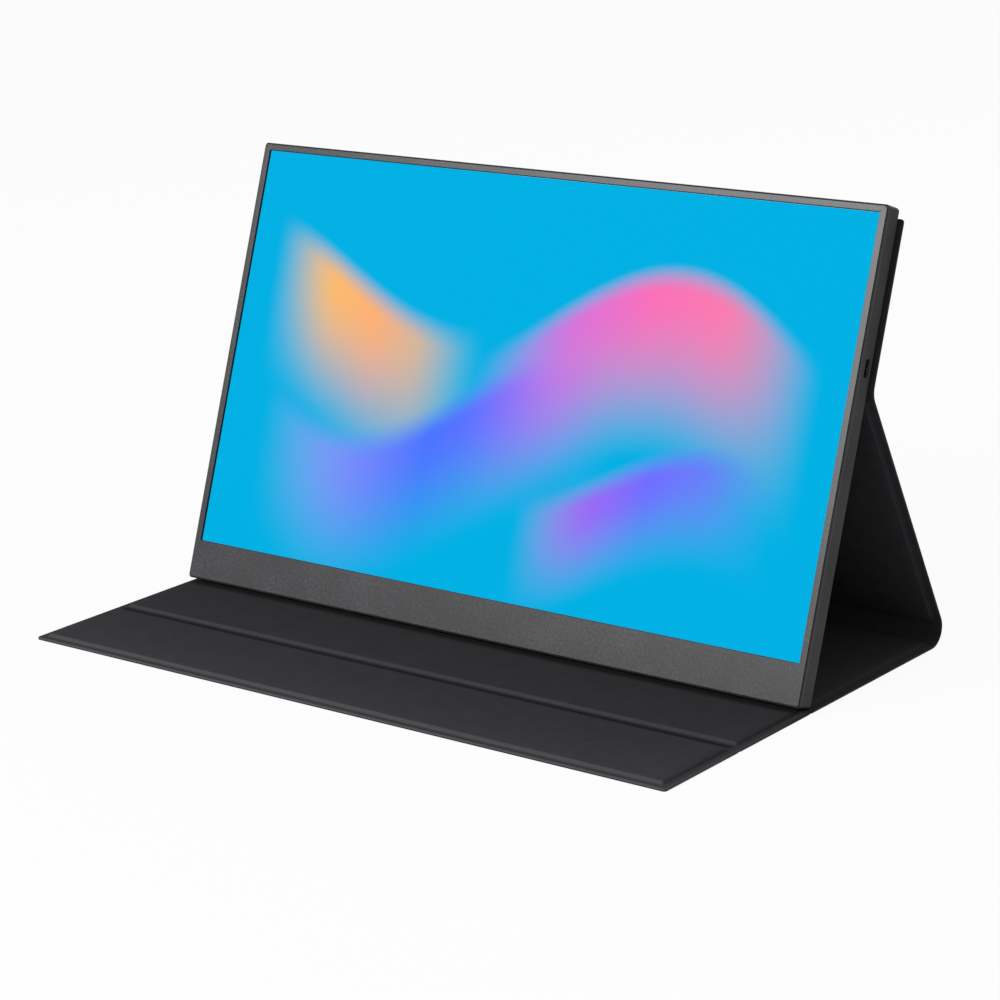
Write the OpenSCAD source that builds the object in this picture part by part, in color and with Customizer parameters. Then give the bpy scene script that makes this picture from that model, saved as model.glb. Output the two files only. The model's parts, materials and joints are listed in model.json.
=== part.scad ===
// Portable monitor, 15.6 inch, standing in its folding cover
// Millimetres. X runs along the screen, Y to the back, Z up, and the base lies on Z = 0.
// The origin is on the floor, in the middle of the footprint.

/* [Monitor] */
// Thickness of the monitor
monitor_t = 10.05; // [9.8:0.05:14]
// Wall of the rear housing
housing_wall = 1.2; // [0.8:0.1:1.4]
// Radius of the housing's rounded rear edges
rear_edge_r = 2.2; // [1.4:0.1:3]
// Radius of the monitor's corners, seen from the front
corner_r = 2.4; // [1.4:0.1:5]
// Lean of the screen, back from upright
tilt = 19.45; // [15:0.05:24]

/* [Screen] */
// Width of the picture
active_w = 344.16; // [300:0.1:400]
// Height of the picture
active_h = 193.59; // [175:0.1:215]
// Width of the border beside the picture, out to the housing's side
side_border = 4.07; // [3.8:0.01:8]
// Height of the border over the picture
top_border = 3.61; // [3.3:0.01:8]
// Height of the bezel's strip under the picture
chin_h = 18.9; // [18:0.1:24]
// Thickness of the front bezel
bezel_t = 1.0; // [0.8:0.1:1.2]
// Seam between the bezel and the housing
seam = 0.15; // [0.1:0.05:0.3]
// Black gap between the picture and the bezel
picture_gap = 0.5; // [0.3:0.1:0.7]
// Thickness of the glass cell
cell_t = 1.1; // [0.8:0.1:1.2]
// Thickness of the stack of films
film_t = 0.6; // [0.4:0.1:0.8]
// Thickness of the light guide
guide_t = 0.6; // [0.4:0.1:0.8]

/* [Cover] */
// Reach of the cover past each side of the monitor
cover_over = 1.35; // [0.8:0.05:5]
// Outer skin of the cover
skin_t = 0.6; // [0.4:0.1:0.8]
// Lining of the cover
lining_t = 0.7; // [0.5:0.1:0.9]
// Stiffening board in the base and the prop
board_t = 1.3; // [1:0.1:1.5]
// Stiffening board in the panel behind the monitor
back_board_t = 1.6; // [1.5:0.1:2]
// Length of the base behind the groove that holds the foot
base_len = 107.4; // [95:0.5:125]
// Length of the strip between the two grooves
mid_len = 54.5; // [40:0.5:70]
// Length of the front strip
front_len = 53.5; // [40:0.5:70]
// Width of the spine between its two folds
spine_len = 9.1; // [7:0.1:14]
// Length of the panel behind the monitor
back_len = 76; // [60:0.5:85]
// Drop from the monitor's top edge to the back panel's
back_drop = 4.2; // [2:0.1:12]
// Half the width of each fold's soft strip
fold_half = 2; // [1.8:0.1:2.5]
// Slope of the lining at each end of a board
end_slope = 3; // [2.8:0.1:5]
// Slope of the lining along each side of a board
side_slope = 2; // [1:0.1:4]
// Rim outside the boards, where skin and lining are glued
rim = 5; // [4:0.5:10]
// Radius of the cover's outer corners
cover_corner_r = 4; // [2:0.5:8]

/* [Ports and buttons] */
// Height of the audio jack above the monitor's bottom edge
jack_v = 84; // [80:0.5:90]
// Height of the right-hand socket above the monitor's bottom edge
right_port_v = 146.5; // [120:0.5:170]
// Distance of the socket's centre from the front face
port_w = 5.75; // [5.7:0.05:5.9]
// Length of the USB-C socket's shell
usb_len = 9.2; // [8.8:0.1:9.6]
// Height of the USB-C socket's shell
usb_high = 3; // [2.8:0.1:3.1]
// Radius of the audio jack's bore
jack_r = 1.8; // [1.75:0.05:1.85]
// Travel of the power button
press_travel = 0.4; // [0.2:0.05:0.45]
// Swing of the menu rocker to each side, in degrees
rocker_swing = 2.5; // [1:0.5:2.5]

/* [Hidden] */
$fn = 48;
// Clearances
foot_gap = 0.3;        // foot of the monitor over the groove's strip
seat_gap = 0.05;       // back panel off the housing
port_gap = 0.15;       // socket in its cut-out
running_gap = 0.05;    // pins and screws in their bores
thread_gap = 0.05;     // screw in its boss
eps = 0.01;

monitor_w = active_w + 2 * side_border;
monitor_h = chin_h + active_h + top_border;
cover_w = monitor_w + 2 * cover_over;

// Cover, as a chain of panels with an axis at each fold
fold_t = skin_t + lining_t;
axis_in = fold_t / 2;
panel_t = fold_t + board_t;
back_t = fold_t + back_board_t;
foot_low_w = monitor_t - rear_edge_r;
foot_drop = foot_low_w * sin(tilt) + rear_edge_r - rear_edge_r * cos(tilt);
foot_z = fold_t + foot_gap + foot_drop;
foot_low_y = foot_low_w * cos(tilt) + rear_edge_r * sin(tilt);
foot_in_groove = 1.2;
mid_groove_y = foot_low_y - foot_in_groove;
front_groove_y = mid_groove_y - mid_len;
front_edge_y = front_groove_y - front_len;
rear_fold_y = mid_groove_y + base_len;
back_fold_v = monitor_h - back_drop - back_len;
back_axis_w = monitor_t + seat_gap + back_t - axis_in;
back_fold = [back_fold_v * sin(tilt) + back_axis_w * cos(tilt),
             foot_z + back_fold_v * cos(tilt) - back_axis_w * sin(tilt)];
// The spine turns by the same angle at both of its folds, so its lean follows the prop's
function spine_reach(lean) = spine_len / 2 / cos((180 - lean) / 2);
function prop_lean(lean, turns) = turns == 0 ? lean
    : prop_lean(atan2(back_fold[1] - axis_in, rear_fold_y + spine_reach(lean) - back_fold[0]), turns - 1);
lean = prop_lean(60, 12);
spine_turn = (180 - lean) / 2;
rear_fold = [rear_fold_y, axis_in];
spine_fold = rear_fold + spine_len * [cos(spine_turn), sin(spine_turn)];
prop_len = norm(back_fold - spine_fold);
// Directions along and across a panel, and the corner where the faces of two panels meet
function along(turn) = [cos(turn), sin(turn)];
function across(turn) = [-sin(turn), cos(turn)];
function mitre(turn_in, turn_out) =
    axis_in * (across(turn_in) + across(turn_out)) / (1 + cos(turn_out - turn_in));
rear_edge_y = spine_fold[0] - mitre(spine_turn, 2 * spine_turn)[0];
middle_y = (front_edge_y + rear_edge_y) / 2;

// Monitor, as layers behind the front face
rim_drop = 0.35;
rim_chamfer = 0.4;
inner_x = monitor_w / 2 - housing_wall;
inner_top = monitor_h - housing_wall;
back_in = monitor_t - housing_wall;
tape_t = 0.2;
polariser_t = 0.1;
cell_w = bezel_t + tape_t;
film_w = cell_w + cell_t;
guide_w = film_w + film_t;
reflector_w = guide_w + guide_t;
reflector_t = 0.2;
tray_w = reflector_w + reflector_t;
tray_t = 0.4;
behind_tray = tray_w + tray_t;
flex_t = 0.1;
flex_reach = 0.8;
flex_half = 20;
flex_step = 95;
flex_on_board = 4;
cell_side = 1.2;
frame_side = 1.2;
module_x = active_w / 2 + cell_side + frame_side;
module_top = inner_top - 0.5;
module_bottom = chin_h - 10.5;
picture_top = chin_h + active_h;
cell_ledge = 7;
film_side = 0.6;
film_bottom = chin_h - 6;
led_high = 3;
tape_in = 0.4;
// Boards lie behind the module, and the sockets are set into their edges
board_w = port_w - 0.55;
pcb_t = 1;
driver_w = behind_tray + flex_t;
driver_t = 0.8;
driver_x = module_x - 24.5;
driver_bottom = module_bottom + 0.6;
driver_high = 10;
panel_cable_w = 12;
panel_cable_side = 8;
panel_cable_on = 8;
main_len = 79;
main_high = 126;
board_side = 3;
main_x = [-inner_x + board_side, -inner_x + board_side + main_len];
main_v = [jack_v - 24, jack_v - 24 + main_high];
side_board_w = 22;
side_board_high = 44;
side_x = [inner_x - board_side - side_board_w, inner_x - board_side];
side_v = [right_port_v - side_board_high / 2, right_port_v + side_board_high / 2];
usb_deep = 7.4;
port_in = 0.3;         // sockets stop this far inside the housing's side
left_usb_v = jack_v + 20;
hdmi_v = left_usb_v + 18;
hdmi_len = 11.2;
hdmi_high = 3.2;
hdmi_deep = 7.5;
jack_bore = 10;
jack_deep = housing_wall - port_in + jack_bore + 1.1;
jack_side = 6;
jack_high = 4.5;
jack_w = behind_tray + 0.1 + jack_high / 2;
// Chips as distance along and up the main board, and side
chips = [[34, 58, 16], [30, 36, 8], [56, 38, 10]];
chip_t = 1.1;
coil_place = [50, 22];
coil_r = 3.5;
coil_t = 2;
boss_r = 2.2;
screw_r = 0.95;
screw_head_r = 1.9;
screw_head_t = 0.7;
screw_inset = 5;
screw_inset_left = 12;
screw_drop = 8;
screw_places = [[main_x[0] + screw_inset_left, main_v[0] + screw_inset],
                [main_x[1] - screw_inset, main_v[0] + screw_inset],
                [main_x[0] + screw_inset_left, main_v[1] - screw_drop],
                [main_x[1] - screw_inset, main_v[1] - screw_drop],
                [side_x[0] + screw_inset, side_v[0] + screw_inset],
                [side_x[0] + screw_inset, side_v[1] - screw_inset]];
rib_t = 1.2;
rib_step = 60;
rib_x = [for (i = [-1 : 2]) i * rib_step];
rib_v = [46, inner_top - 15];
side_cable_high = 7;
side_cable_t = 0.15;
side_cable_v = right_port_v - 7;
speaker_x = inner_x - 37;
speaker_v = 31;
speaker_len = 36;
speaker_high = 16;
speaker_t = 4;
cone_r = 6;
plate_len = 70;
plate_high = 26;
plate_t = 0.6;
plate_x = plate_len / 2 + 17;
plate_v = back_fold_v + 42;
magnet_r = 5;
magnet_t = 1.2;
magnet_step = 24;

// Buttons in the left side
rocker_v = hdmi_v + 30;
button_v = rocker_v + 20;
button_len = 8;
button_high = 2.4;
button_w = 6.4;
button_proud = 0.5;
button_fit = 0.15;
flange_t = 0.6;
flange_over = 0.6;
switch_gap = press_travel + 0.1;
switch_t = 1.6;
switch_half = 1.7;
rocker_len = 17;
rocker_pin_r = 0.6;
rocker_pin_x = 1.5;
rocker_ear = 1.6;
ear_t = 0.8;
ear_off = 0.75;
pin_reach = 1;
rocker_room = (rocker_len / 2 + flange_over) * sin(rocker_swing) + 0.15;

skin_colour = [0.07, 0.07, 0.075];
lining_colour = [0.17, 0.17, 0.18];
board_colour = [0.45, 0.42, 0.38];
housing_colour = [0.22, 0.22, 0.23];
bezel_colour = [0.38, 0.38, 0.39];
steel_colour = [0.7, 0.71, 0.73];
circuit_colour = [0.05, 0.3, 0.16];
chip_colour = [0.06, 0.06, 0.07];
flex_colour = [0.75, 0.5, 0.2];

// Places

module in_footprint() translate([0, -middle_y, 0]) children();

// Monitor's own upright frame: X across, Y into its depth, Z up its face
module on_monitor() in_footprint() translate([0, 0, foot_z]) rotate([-tilt, 0, 0]) children();

// A panel's own frame: Y along the panel from its axis, Z towards its lining
module on_fold(place, turn) in_footprint() translate([0, place[0], place[1]]) rotate([turn, 0, 0]) children();

module on_base() on_fold([mid_groove_y, axis_in], 0) children();
module on_mid() on_fold([mid_groove_y, axis_in], 0) children();
module on_front() on_fold([front_groove_y, axis_in], 0) children();
module on_spine() on_fold(rear_fold, spine_turn) children();
module on_prop() on_fold(spine_fold, 2 * spine_turn) children();
module on_back() on_fold(back_fold, 90 - tilt) children();

// Shapes

module block(x, y, z) translate([x[0], y[0], z[0]]) cube([x[1] - x[0], y[1] - y[0], z[1] - z[0]]);

// A plate in the monitor's frame: half width, depths from and to, heights from and to
module layer(half_x, depth, v) block([-half_x, half_x], depth, v);

module rounded_rect(x, y, r) {
    translate([x[0] + r, y[0]]) square([x[1] - x[0] - 2 * r, y[1] - y[0]]);
    translate([x[0], y[0] + r]) square([x[1] - x[0], y[1] - y[0] - 2 * r]);
    for (cx = [x[0] + r, x[1] - r], cy = [y[0] + r, y[1] - r])
        translate([cx, cy]) circle(r = r);
}

// Slot with round ends, its length along Y
module stadium(len, high) {
    translate([-high / 2, -(len - high) / 2]) square([high, len - high]);
    for (side = [-1, 1])
        translate([0, side * (len - high) / 2]) circle(d = high);
}

// Solid along X through a side of the monitor, from a 2D shape drawn in depth and height
module along_x(from, to, depth, v)
    translate([from, depth, v]) rotate([90, 0, 90]) linear_extrude(to - from) children();

// Cover panels

// Sheet with round corners at its free end: ends are [y, y], free is -1, 1 or 0
module sheet(y, z, free) {
    half = cover_w / 2;
    translate([0, 0, z[0]]) linear_extrude(z[1] - z[0]) {
        low = free == -1 ? y[0] + cover_corner_r : y[0];
        high = free == 1 ? y[1] - cover_corner_r : y[1];
        translate([-half, low]) square([cover_w, high - low]);
        if (free != 0) {
            edge = free == -1 ? y[0] : high;
            translate([-half + cover_corner_r, edge]) square([cover_w - 2 * cover_corner_r, cover_corner_r]);
            corner_y = free == -1 ? low : high;
            for (side = [-1, 1])
                translate([side * (half - cover_corner_r), corner_y]) circle(r = cover_corner_r);
        }
    }
}

// Raised field of the lining over a board, with sloping sides
module field(y, z, slope_low, slope_high) {
    low_x = cover_w / 2 - rim;
    high_x = low_x - side_slope;
    corners = [[-low_x, y[0], z[0]], [low_x, y[0], z[0]], [low_x, y[1], z[0]], [-low_x, y[1], z[0]],
               [-high_x, y[0] + slope_low, z[1]], [high_x, y[0] + slope_low, z[1]],
               [high_x, y[1] - slope_high, z[1]], [-high_x, y[1] - slope_high, z[1]]];
    polyhedron(corners, [[0, 1, 2, 3], [7, 6, 5, 4], [0, 4, 5, 1], [1, 5, 6, 2], [2, 6, 7, 3], [3, 7, 4, 0]]);
}

function rim_at(y, free) = [free == -1 ? y[0] + rim : y[0], free == 1 ? y[1] - rim : y[1]];
function slope_at(free, end) = free == end ? side_slope : end_slope;

module panel_skin(y, free) sheet(y, [-axis_in, skin_t - axis_in], free);

module panel_board(y, free, thick) {
    field_y = rim_at(y, free);
    half = cover_w / 2 - rim - side_slope;
    block([-half, half], [field_y[0] + slope_at(free, -1), field_y[1] - slope_at(free, 1)],
          [skin_t - axis_in, skin_t + thick - axis_in]);
}

module panel_lining(y, free, thick) {
    difference() {
        union() {
            sheet(y, [skin_t - axis_in, axis_in], free);
            field(rim_at(y, free), [axis_in - eps, axis_in + thick], slope_at(free, -1), slope_at(free, 1));
        }
        panel_board(y, free, thick);
    }
}

// Soft strip at a fold: a half strip along each panel, with a mitre where they meet
module fold_strip(turn_in, turn_out) {
    corner = mitre(turn_in, turn_out);
    start = -fold_half * along(turn_in);
    end = fold_half * along(turn_out);
    translate([-cover_w / 2, 0, 0]) rotate([90, 0, 90]) linear_extrude(cover_w)
        polygon([start + axis_in * across(turn_in), start - axis_in * across(turn_in), -corner,
                 end - axis_in * across(turn_out), end + axis_in * across(turn_out), corner]);
}

base_y = [fold_half, base_len - fold_half];
mid_y = [-mid_len + fold_half, -fold_half];
front_y = [-front_len, -fold_half];
spine_y = [fold_half, spine_len - fold_half];
prop_y = [fold_half, prop_len - fold_half];
back_y = [fold_half, back_len];

module base_skin() color(skin_colour) on_base() panel_skin(base_y, 0);
module base_board() color(board_colour) on_base() panel_board(base_y, 0, board_t);
module base_lining() color(lining_colour) on_base() panel_lining(base_y, 0, board_t);
module mid_skin() color(skin_colour) on_mid() panel_skin(mid_y, 0);
module mid_board() color(board_colour) on_mid() panel_board(mid_y, 0, board_t);
module mid_lining() color(lining_colour) on_mid() panel_lining(mid_y, 0, board_t);
module front_skin() color(skin_colour) on_front() panel_skin(front_y, -1);
module prop_skin() color(skin_colour) on_prop() panel_skin(prop_y, 0);
module prop_board() color(board_colour) on_prop() panel_board(prop_y, 0, board_t);
module prop_lining() color(lining_colour) on_prop() panel_lining(prop_y, 0, board_t);
module back_skin() color(skin_colour) on_back() panel_skin(back_y, 1);
module spine_skin() color(skin_colour) on_spine() panel_skin(spine_y, 0);
module spine_lining() color(lining_colour) on_spine() sheet(spine_y, [skin_t - axis_in, axis_in], 0);

// Two magnets in the front strip hold the cover shut over the screen
module closing_magnet_places() {
    from_edge = rim + side_slope;
    for (side = [-1, 1])
        translate([side * (cover_w / 2 - from_edge - 3 * magnet_r), -front_len + from_edge + 2 * magnet_r,
                   skin_t - axis_in])
            children();
}

module front_board() color(board_colour) on_front() difference() {
    panel_board(front_y, -1, board_t);
    closing_magnet_places() translate([0, 0, -1]) cylinder(r = magnet_r + running_gap, h = board_t + 2);
}

module front_lining() color(lining_colour) on_front() panel_lining(front_y, -1, board_t);
module closing_magnets() color(steel_colour) on_front() closing_magnet_places()
    cylinder(r = magnet_r, h = board_t);

// Rows of magnets in the back panel hold the monitor by its steel plates
module back_magnet_places()
    for (side = [-1, 1], place = [-1, 0, 1])
        translate([side * plate_x + place * magnet_step, plate_v - back_fold_v, skin_t - axis_in]) children();

module back_board() color(board_colour) on_back() difference() {
    panel_board(back_y, 1, back_board_t);
    back_magnet_places() translate([0, 0, back_board_t - magnet_t])
        cylinder(r = magnet_r + running_gap, h = magnet_t + 1);
}

module back_lining() color(lining_colour) on_back() panel_lining(back_y, 1, back_board_t);
module back_magnets() color(steel_colour) on_back() back_magnet_places()
    translate([0, 0, back_board_t - magnet_t]) cylinder(r = magnet_r, h = magnet_t);

module back_fold_strip() color(skin_colour) on_fold(back_fold, 0) fold_strip(2 * spine_turn, 90 - tilt);
module spine_top_strip() color(skin_colour) on_fold(spine_fold, 0) fold_strip(spine_turn, 2 * spine_turn);
module spine_bottom_strip() color(skin_colour) on_fold(rear_fold, 0) fold_strip(0, spine_turn);
module mid_groove_strip() color(lining_colour) on_mid() fold_strip(0, 0);
module front_groove_strip() color(lining_colour) on_front() fold_strip(0, 0);

// Monitor's shell

// Side view of the housing: rounded at the rear, with a small chamfer at the front rim
module housing_side(len) difference() {
    union() {
        square([monitor_t - rear_edge_r, len]);
        translate([0, rear_edge_r]) square([monitor_t, len - 2 * rear_edge_r]);
        for (v = [rear_edge_r, len - rear_edge_r])
            translate([monitor_t - rear_edge_r, v]) circle(r = rear_edge_r);
    }
    translate([-1, -1]) square([1 + rim_drop, len + 2]);
    polygon([[0, -eps], [rim_drop + rim_chamfer, -eps], [rim_drop, rim_chamfer], [0, rim_chamfer]]);
    polygon([[0, len + eps], [rim_drop + rim_chamfer, len + eps], [rim_drop, len - rim_chamfer],
             [0, len - rim_chamfer]]);
}

module housing_outside() intersection() {
    along_x(-monitor_w / 2, monitor_w / 2, 0, 0) housing_side(monitor_h);
    translate([-monitor_w / 2, 0, 0]) rotate([0, 0, 90]) mirror([0, 1, 0])
        linear_extrude(monitor_h) housing_side(monitor_w);
    translate([0, monitor_t + 1, 0]) rotate([90, 0, 0]) linear_extrude(monitor_t + 2)
        rounded_rect([-monitor_w / 2, monitor_w / 2], [0, monitor_h], corner_r);
}

module at_speaker(side) translate([side * speaker_x, 0, speaker_v]) children();

module grille_cuts()
    for (side = [-1, 1], row = [-2 : 2], step = [-3 : 3])
        at_speaker(side) translate([step * 2.6, back_in - 1, row * 2.4]) rotate([-90, 0, 0])
            cylinder(r = 0.6, h = housing_wall + 2, $fn = 16);

module screw_bosses()
    for (place = screw_places)
        translate([place[0], board_w + pcb_t, place[1]]) rotate([-90, 0, 0])
            cylinder(r = boss_r, h = back_in + eps - board_w - pcb_t);

module screw_bores()
    for (place = screw_places)
        translate([place[0], board_w - eps, place[1]]) rotate([-90, 0, 0])
            cylinder(r = screw_r + thread_gap, h = back_in - 0.4 - board_w);

module support_ribs() difference() {
    for (x = rib_x)
        block([x - rib_t / 2, x + rib_t / 2], [behind_tray, back_in + eps], rib_v);
    block([-monitor_w, monitor_w], [behind_tray - 1, board_w + pcb_t],
          [side_cable_v - side_cable_high / 2 - 2, side_cable_v + side_cable_high / 2 + 2]);
    block([-monitor_w, monitor_w], [back_in - plate_t, back_in],
          [plate_v - plate_high / 2 - 1, plate_v + plate_high / 2 + 1]);
}

rocker_out = inner_x - rocker_pin_x;

module rocker_ears() difference() {
    for (side = [-1, 1]) {
        middle = button_w + side * (button_high / 2 + ear_off);
        block([-inner_x - eps, -rocker_out + rocker_pin_r + 0.5], [middle - ear_t / 2, middle + ear_t / 2],
              [rocker_v - rocker_ear, rocker_v + rocker_ear]);
    }
    translate([-rocker_out, button_w - button_high - 2, rocker_v]) rotate([-90, 0, 0])
        cylinder(r = rocker_pin_r + running_gap, h = 2 * button_high + 4);
}

module side_cuts() {
    out = monitor_w / 2 + 1;
    in = inner_x - 1;
    along_x(in, out, port_w, right_port_v) stadium(usb_len + 2 * port_gap, usb_high + 2 * port_gap);
    along_x(-out, -in, port_w, left_usb_v) stadium(usb_len + 2 * port_gap, usb_high + 2 * port_gap);
    along_x(-out, -in, port_w, hdmi_v) hdmi_outline(port_gap);
    translate([-out, jack_w, jack_v]) rotate([0, 90, 0]) cylinder(r = jack_r + 0.4, h = 1 + housing_wall + 1);
    along_x(-out, -in, button_w, button_v) stadium(button_len + 2 * button_fit, button_high + 2 * button_fit);
    along_x(-out, -in, button_w, rocker_v) stadium(rocker_len + 2 * button_fit, button_high + 2 * button_fit);
}

module rear_housing() color(housing_colour) on_monitor() {
    difference() {
        union() {
            difference() {
                housing_outside();
                layer(inner_x, [-1, back_in], [housing_wall, inner_top]);
            }
            screw_bosses();
            support_ribs();
            rocker_ears();
        }
        screw_bores();
        side_cuts();
        grille_cuts();
    }
}

module front_bezel() color(bezel_colour) on_monitor() difference() {
    layer(inner_x - seam, [0, bezel_t], [housing_wall + seam, inner_top - seam]);
    layer(active_w / 2 + picture_gap, [-1, bezel_t + 1], [chin_h - picture_gap, picture_top + picture_gap]);
}

// Screen module

module screen_tape() color("black") on_monitor() difference() {
    layer(active_w / 2 + cell_side, [bezel_t, bezel_t + tape_t],
          [chin_h - cell_ledge + flex_reach, picture_top + cell_side]);
    layer(active_w / 2 + picture_gap + tape_in, [0, cell_w + 1],
          [chin_h - picture_gap - tape_in, picture_top + picture_gap + tape_in]);
}

module screen_polariser() color([0, 0.69, 0.89]) on_monitor()
    layer(active_w / 2, [cell_w - polariser_t, cell_w], [chin_h, picture_top]);

module lcd_cell() color([0.05, 0.06, 0.08]) on_monitor()
    layer(active_w / 2 + cell_side, [cell_w, film_w], [chin_h - cell_ledge, picture_top + cell_side]);

module module_frame() color([0.1, 0.1, 0.1]) on_monitor() difference() {
    layer(module_x, [cell_w, tray_w], [module_bottom, module_top]);
    layer(active_w / 2 + cell_side, [0, film_w], [chin_h - cell_ledge, picture_top + cell_side]);
    layer(active_w / 2 + film_side, [0, monitor_t], [film_bottom, picture_top + film_side]);
}

module film_stack() color([0.92, 0.92, 0.95]) on_monitor()
    layer(active_w / 2 + film_side, [film_w, guide_w], [film_bottom, picture_top + film_side]);

module light_guide() color([0.85, 0.93, 0.95]) on_monitor()
    layer(active_w / 2 + film_side, [guide_w, reflector_w],
          [film_bottom + led_high, picture_top + film_side]);

module led_strip() color([0.95, 0.93, 0.7]) on_monitor()
    layer(active_w / 2 - 4, [guide_w, reflector_w], [film_bottom, film_bottom + led_high]);

module reflector_sheet() color([0.97, 0.97, 0.97]) on_monitor()
    layer(active_w / 2 + film_side, [reflector_w, tray_w], [film_bottom, picture_top + film_side]);

module module_tray() color(steel_colour) on_monitor()
    layer(module_x, [tray_w, behind_tray], [module_bottom, module_top]);

// Ribbons from the cell's lower edge, round under the module, to the driver board
module cell_flexes() color(flex_colour) on_monitor()
    for (place = [-1, 0, 1]) translate([place * flex_step, 0, 0]) {
        low = module_bottom - flex_t;
        layer(flex_half, [cell_w - flex_t, cell_w], [low, chin_h - cell_ledge + flex_reach - 0.2]);
        layer(flex_half, [cell_w - flex_t, driver_w], [low, module_bottom]);
        layer(flex_half, [behind_tray, driver_w], [low, driver_bottom + flex_on_board]);
    }

module driver_board() color(circuit_colour) on_monitor()
    layer(driver_x, [driver_w, driver_w + driver_t], [driver_bottom, driver_bottom + driver_high]);

module panel_cable() color(flex_colour) on_monitor()
    block([main_x[1] - panel_cable_side - panel_cable_w, main_x[1] - panel_cable_side],
          [driver_w + driver_t, board_w], [driver_bottom + driver_high / 2, main_v[0] + panel_cable_on]);

// Boards and sockets

module socket_notches(gap) {
    block([-monitor_w, -monitor_w / 2 + port_in + usb_deep + gap], [0, monitor_t],
          [left_usb_v - usb_len / 2 - gap, left_usb_v + usb_len / 2 + gap]);
    block([-monitor_w, -monitor_w / 2 + port_in + hdmi_deep + gap], [0, monitor_t],
          [hdmi_v - hdmi_len / 2 - gap, hdmi_v + hdmi_len / 2 + gap]);
    block([-monitor_w, -monitor_w / 2 + port_in + jack_deep + gap], [0, monitor_t],
          [jack_v - jack_side / 2 - gap, jack_v + jack_side / 2 + gap]);
    block([monitor_w / 2 - port_in - usb_deep - gap, monitor_w], [0, monitor_t],
          [right_port_v - usb_len / 2 - gap, right_port_v + usb_len / 2 + gap]);
}

module screw_clearances()
    for (place = screw_places)
        translate([place[0], 0, place[1]]) rotate([-90, 0, 0]) cylinder(r = screw_r + 0.15, h = monitor_t);

module main_board() color(circuit_colour) on_monitor() difference() {
    block(main_x, [board_w, board_w + pcb_t], main_v);
    socket_notches(0.05);
    screw_clearances();
}

module side_board() color(circuit_colour) on_monitor() difference() {
    block(side_x, [board_w, board_w + pcb_t], side_v);
    socket_notches(0.05);
    screw_clearances();
}

// Scaler, power chip, memory and a coil, as separate solids on the main board
module main_chips() color(chip_colour) on_monitor() {
    translate([main_x[0], board_w + pcb_t, main_v[0]]) {
        for (chip = chips)
            translate([chip[0], 0, chip[1]]) cube([chip[2], chip_t, chip[2]]);
        translate([coil_place[0], 0, coil_place[1]]) rotate([-90, 0, 0]) cylinder(r = coil_r, h = coil_t);
    }
}

module side_cable() color(flex_colour) on_monitor()
    block([main_x[1] - 6, side_x[0] + 10], [board_w - side_cable_t, board_w],
          [side_cable_v - side_cable_high / 2, side_cable_v + side_cable_high / 2]);

// USB-C socket: a shell with a tongue, its mouth towards +X
module usb_socket() {
    difference() {
        along_x(-usb_deep, 0, 0, 0) stadium(usb_len, usb_high);
        along_x(-usb_deep + 1, 1, 0, 0) stadium(usb_len - 0.6, usb_high - 0.6);
    }
    block([-usb_deep + 0.5, -0.7], [-0.35, 0.35], [-3.3, 3.3]);
}

module usb_c_right() color(steel_colour) on_monitor()
    translate([monitor_w / 2 - port_in, port_w, right_port_v]) usb_socket();

module usb_c_left() color(steel_colour) on_monitor()
    translate([-monitor_w / 2 + port_in, port_w, left_usb_v]) mirror([1, 0, 0]) usb_socket();

module hdmi_outline(grow) {
    half = hdmi_len / 2 + grow;
    high = hdmi_high / 2 + grow;
    polygon([[-high, -half], [high * 0.3, -half], [high, -half + 1.3], [high, half - 1.3], [high * 0.3, half],
             [-high, half]]);
}

module mini_hdmi_socket() color(steel_colour) on_monitor()
    translate([-monitor_w / 2 + port_in, port_w, hdmi_v]) {
        difference() {
            along_x(0, hdmi_deep, 0, 0) hdmi_outline(0);
            along_x(-1, hdmi_deep - 1, 0, 0) hdmi_outline(-0.35);
        }
        block([0.8, hdmi_deep - 0.5], [-0.35, 0.35], [-4.2, 4.2]);
    }

module audio_jack() color(chip_colour) on_monitor() difference() {
    block([-inner_x, -monitor_w / 2 + port_in + jack_deep], [jack_w - jack_high / 2, jack_w + jack_high / 2],
          [jack_v - jack_side / 2, jack_v + jack_side / 2]);
    translate([-inner_x - 1, jack_w, jack_v]) rotate([0, 90, 0]) cylinder(r = jack_r, h = jack_bore + 1);
}

module board_screws() color(steel_colour) on_monitor()
    for (place = screw_places)
        translate([place[0], board_w, place[1]]) rotate([-90, 0, 0]) {
            translate([0, 0, -screw_head_t]) cylinder(r = screw_head_r, h = screw_head_t);
            cylinder(r = screw_r, h = pcb_t + 2.2);
        }

// Speaker: a flat box with a round cone that faces the back
module speaker(side) at_speaker(side) difference() {
    union() {
        block([-speaker_len / 2, speaker_len / 2], [back_in - speaker_t, back_in - 0.8],
              [-speaker_high / 2, speaker_high / 2]);
        block([-speaker_len / 2, speaker_len / 2], [back_in - 0.8, back_in],
              [-speaker_high / 2, speaker_high / 2]);
    }
    translate([0, back_in - 0.8, 0]) rotate([-90, 0, 0]) cylinder(r = cone_r + 1.5, h = 2);
}

module speaker_left() color(chip_colour) on_monitor() speaker(-1);
module speaker_right() color(chip_colour) on_monitor() speaker(1);

module hold_plates() color(steel_colour) on_monitor()
    for (side = [-1, 1])
        block([side * plate_x - plate_len / 2, side * plate_x + plate_len / 2], [back_in - plate_t, back_in],
              [plate_v - plate_high / 2, plate_v + plate_high / 2]);

// Buttons

// Cap through the left side, with a flange behind the wall; drawn in depth and height about its centre
module cap(len, inside) {
    along_x(-monitor_w / 2 - button_proud, -inner_x + inside + eps, 0, 0) stadium(len, button_high);
    along_x(-inner_x + inside, -inner_x + inside + flange_t, 0, 0)
        stadium(len + 2 * flange_over, button_high + 2 * button_fit + 0.3);
}

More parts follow.
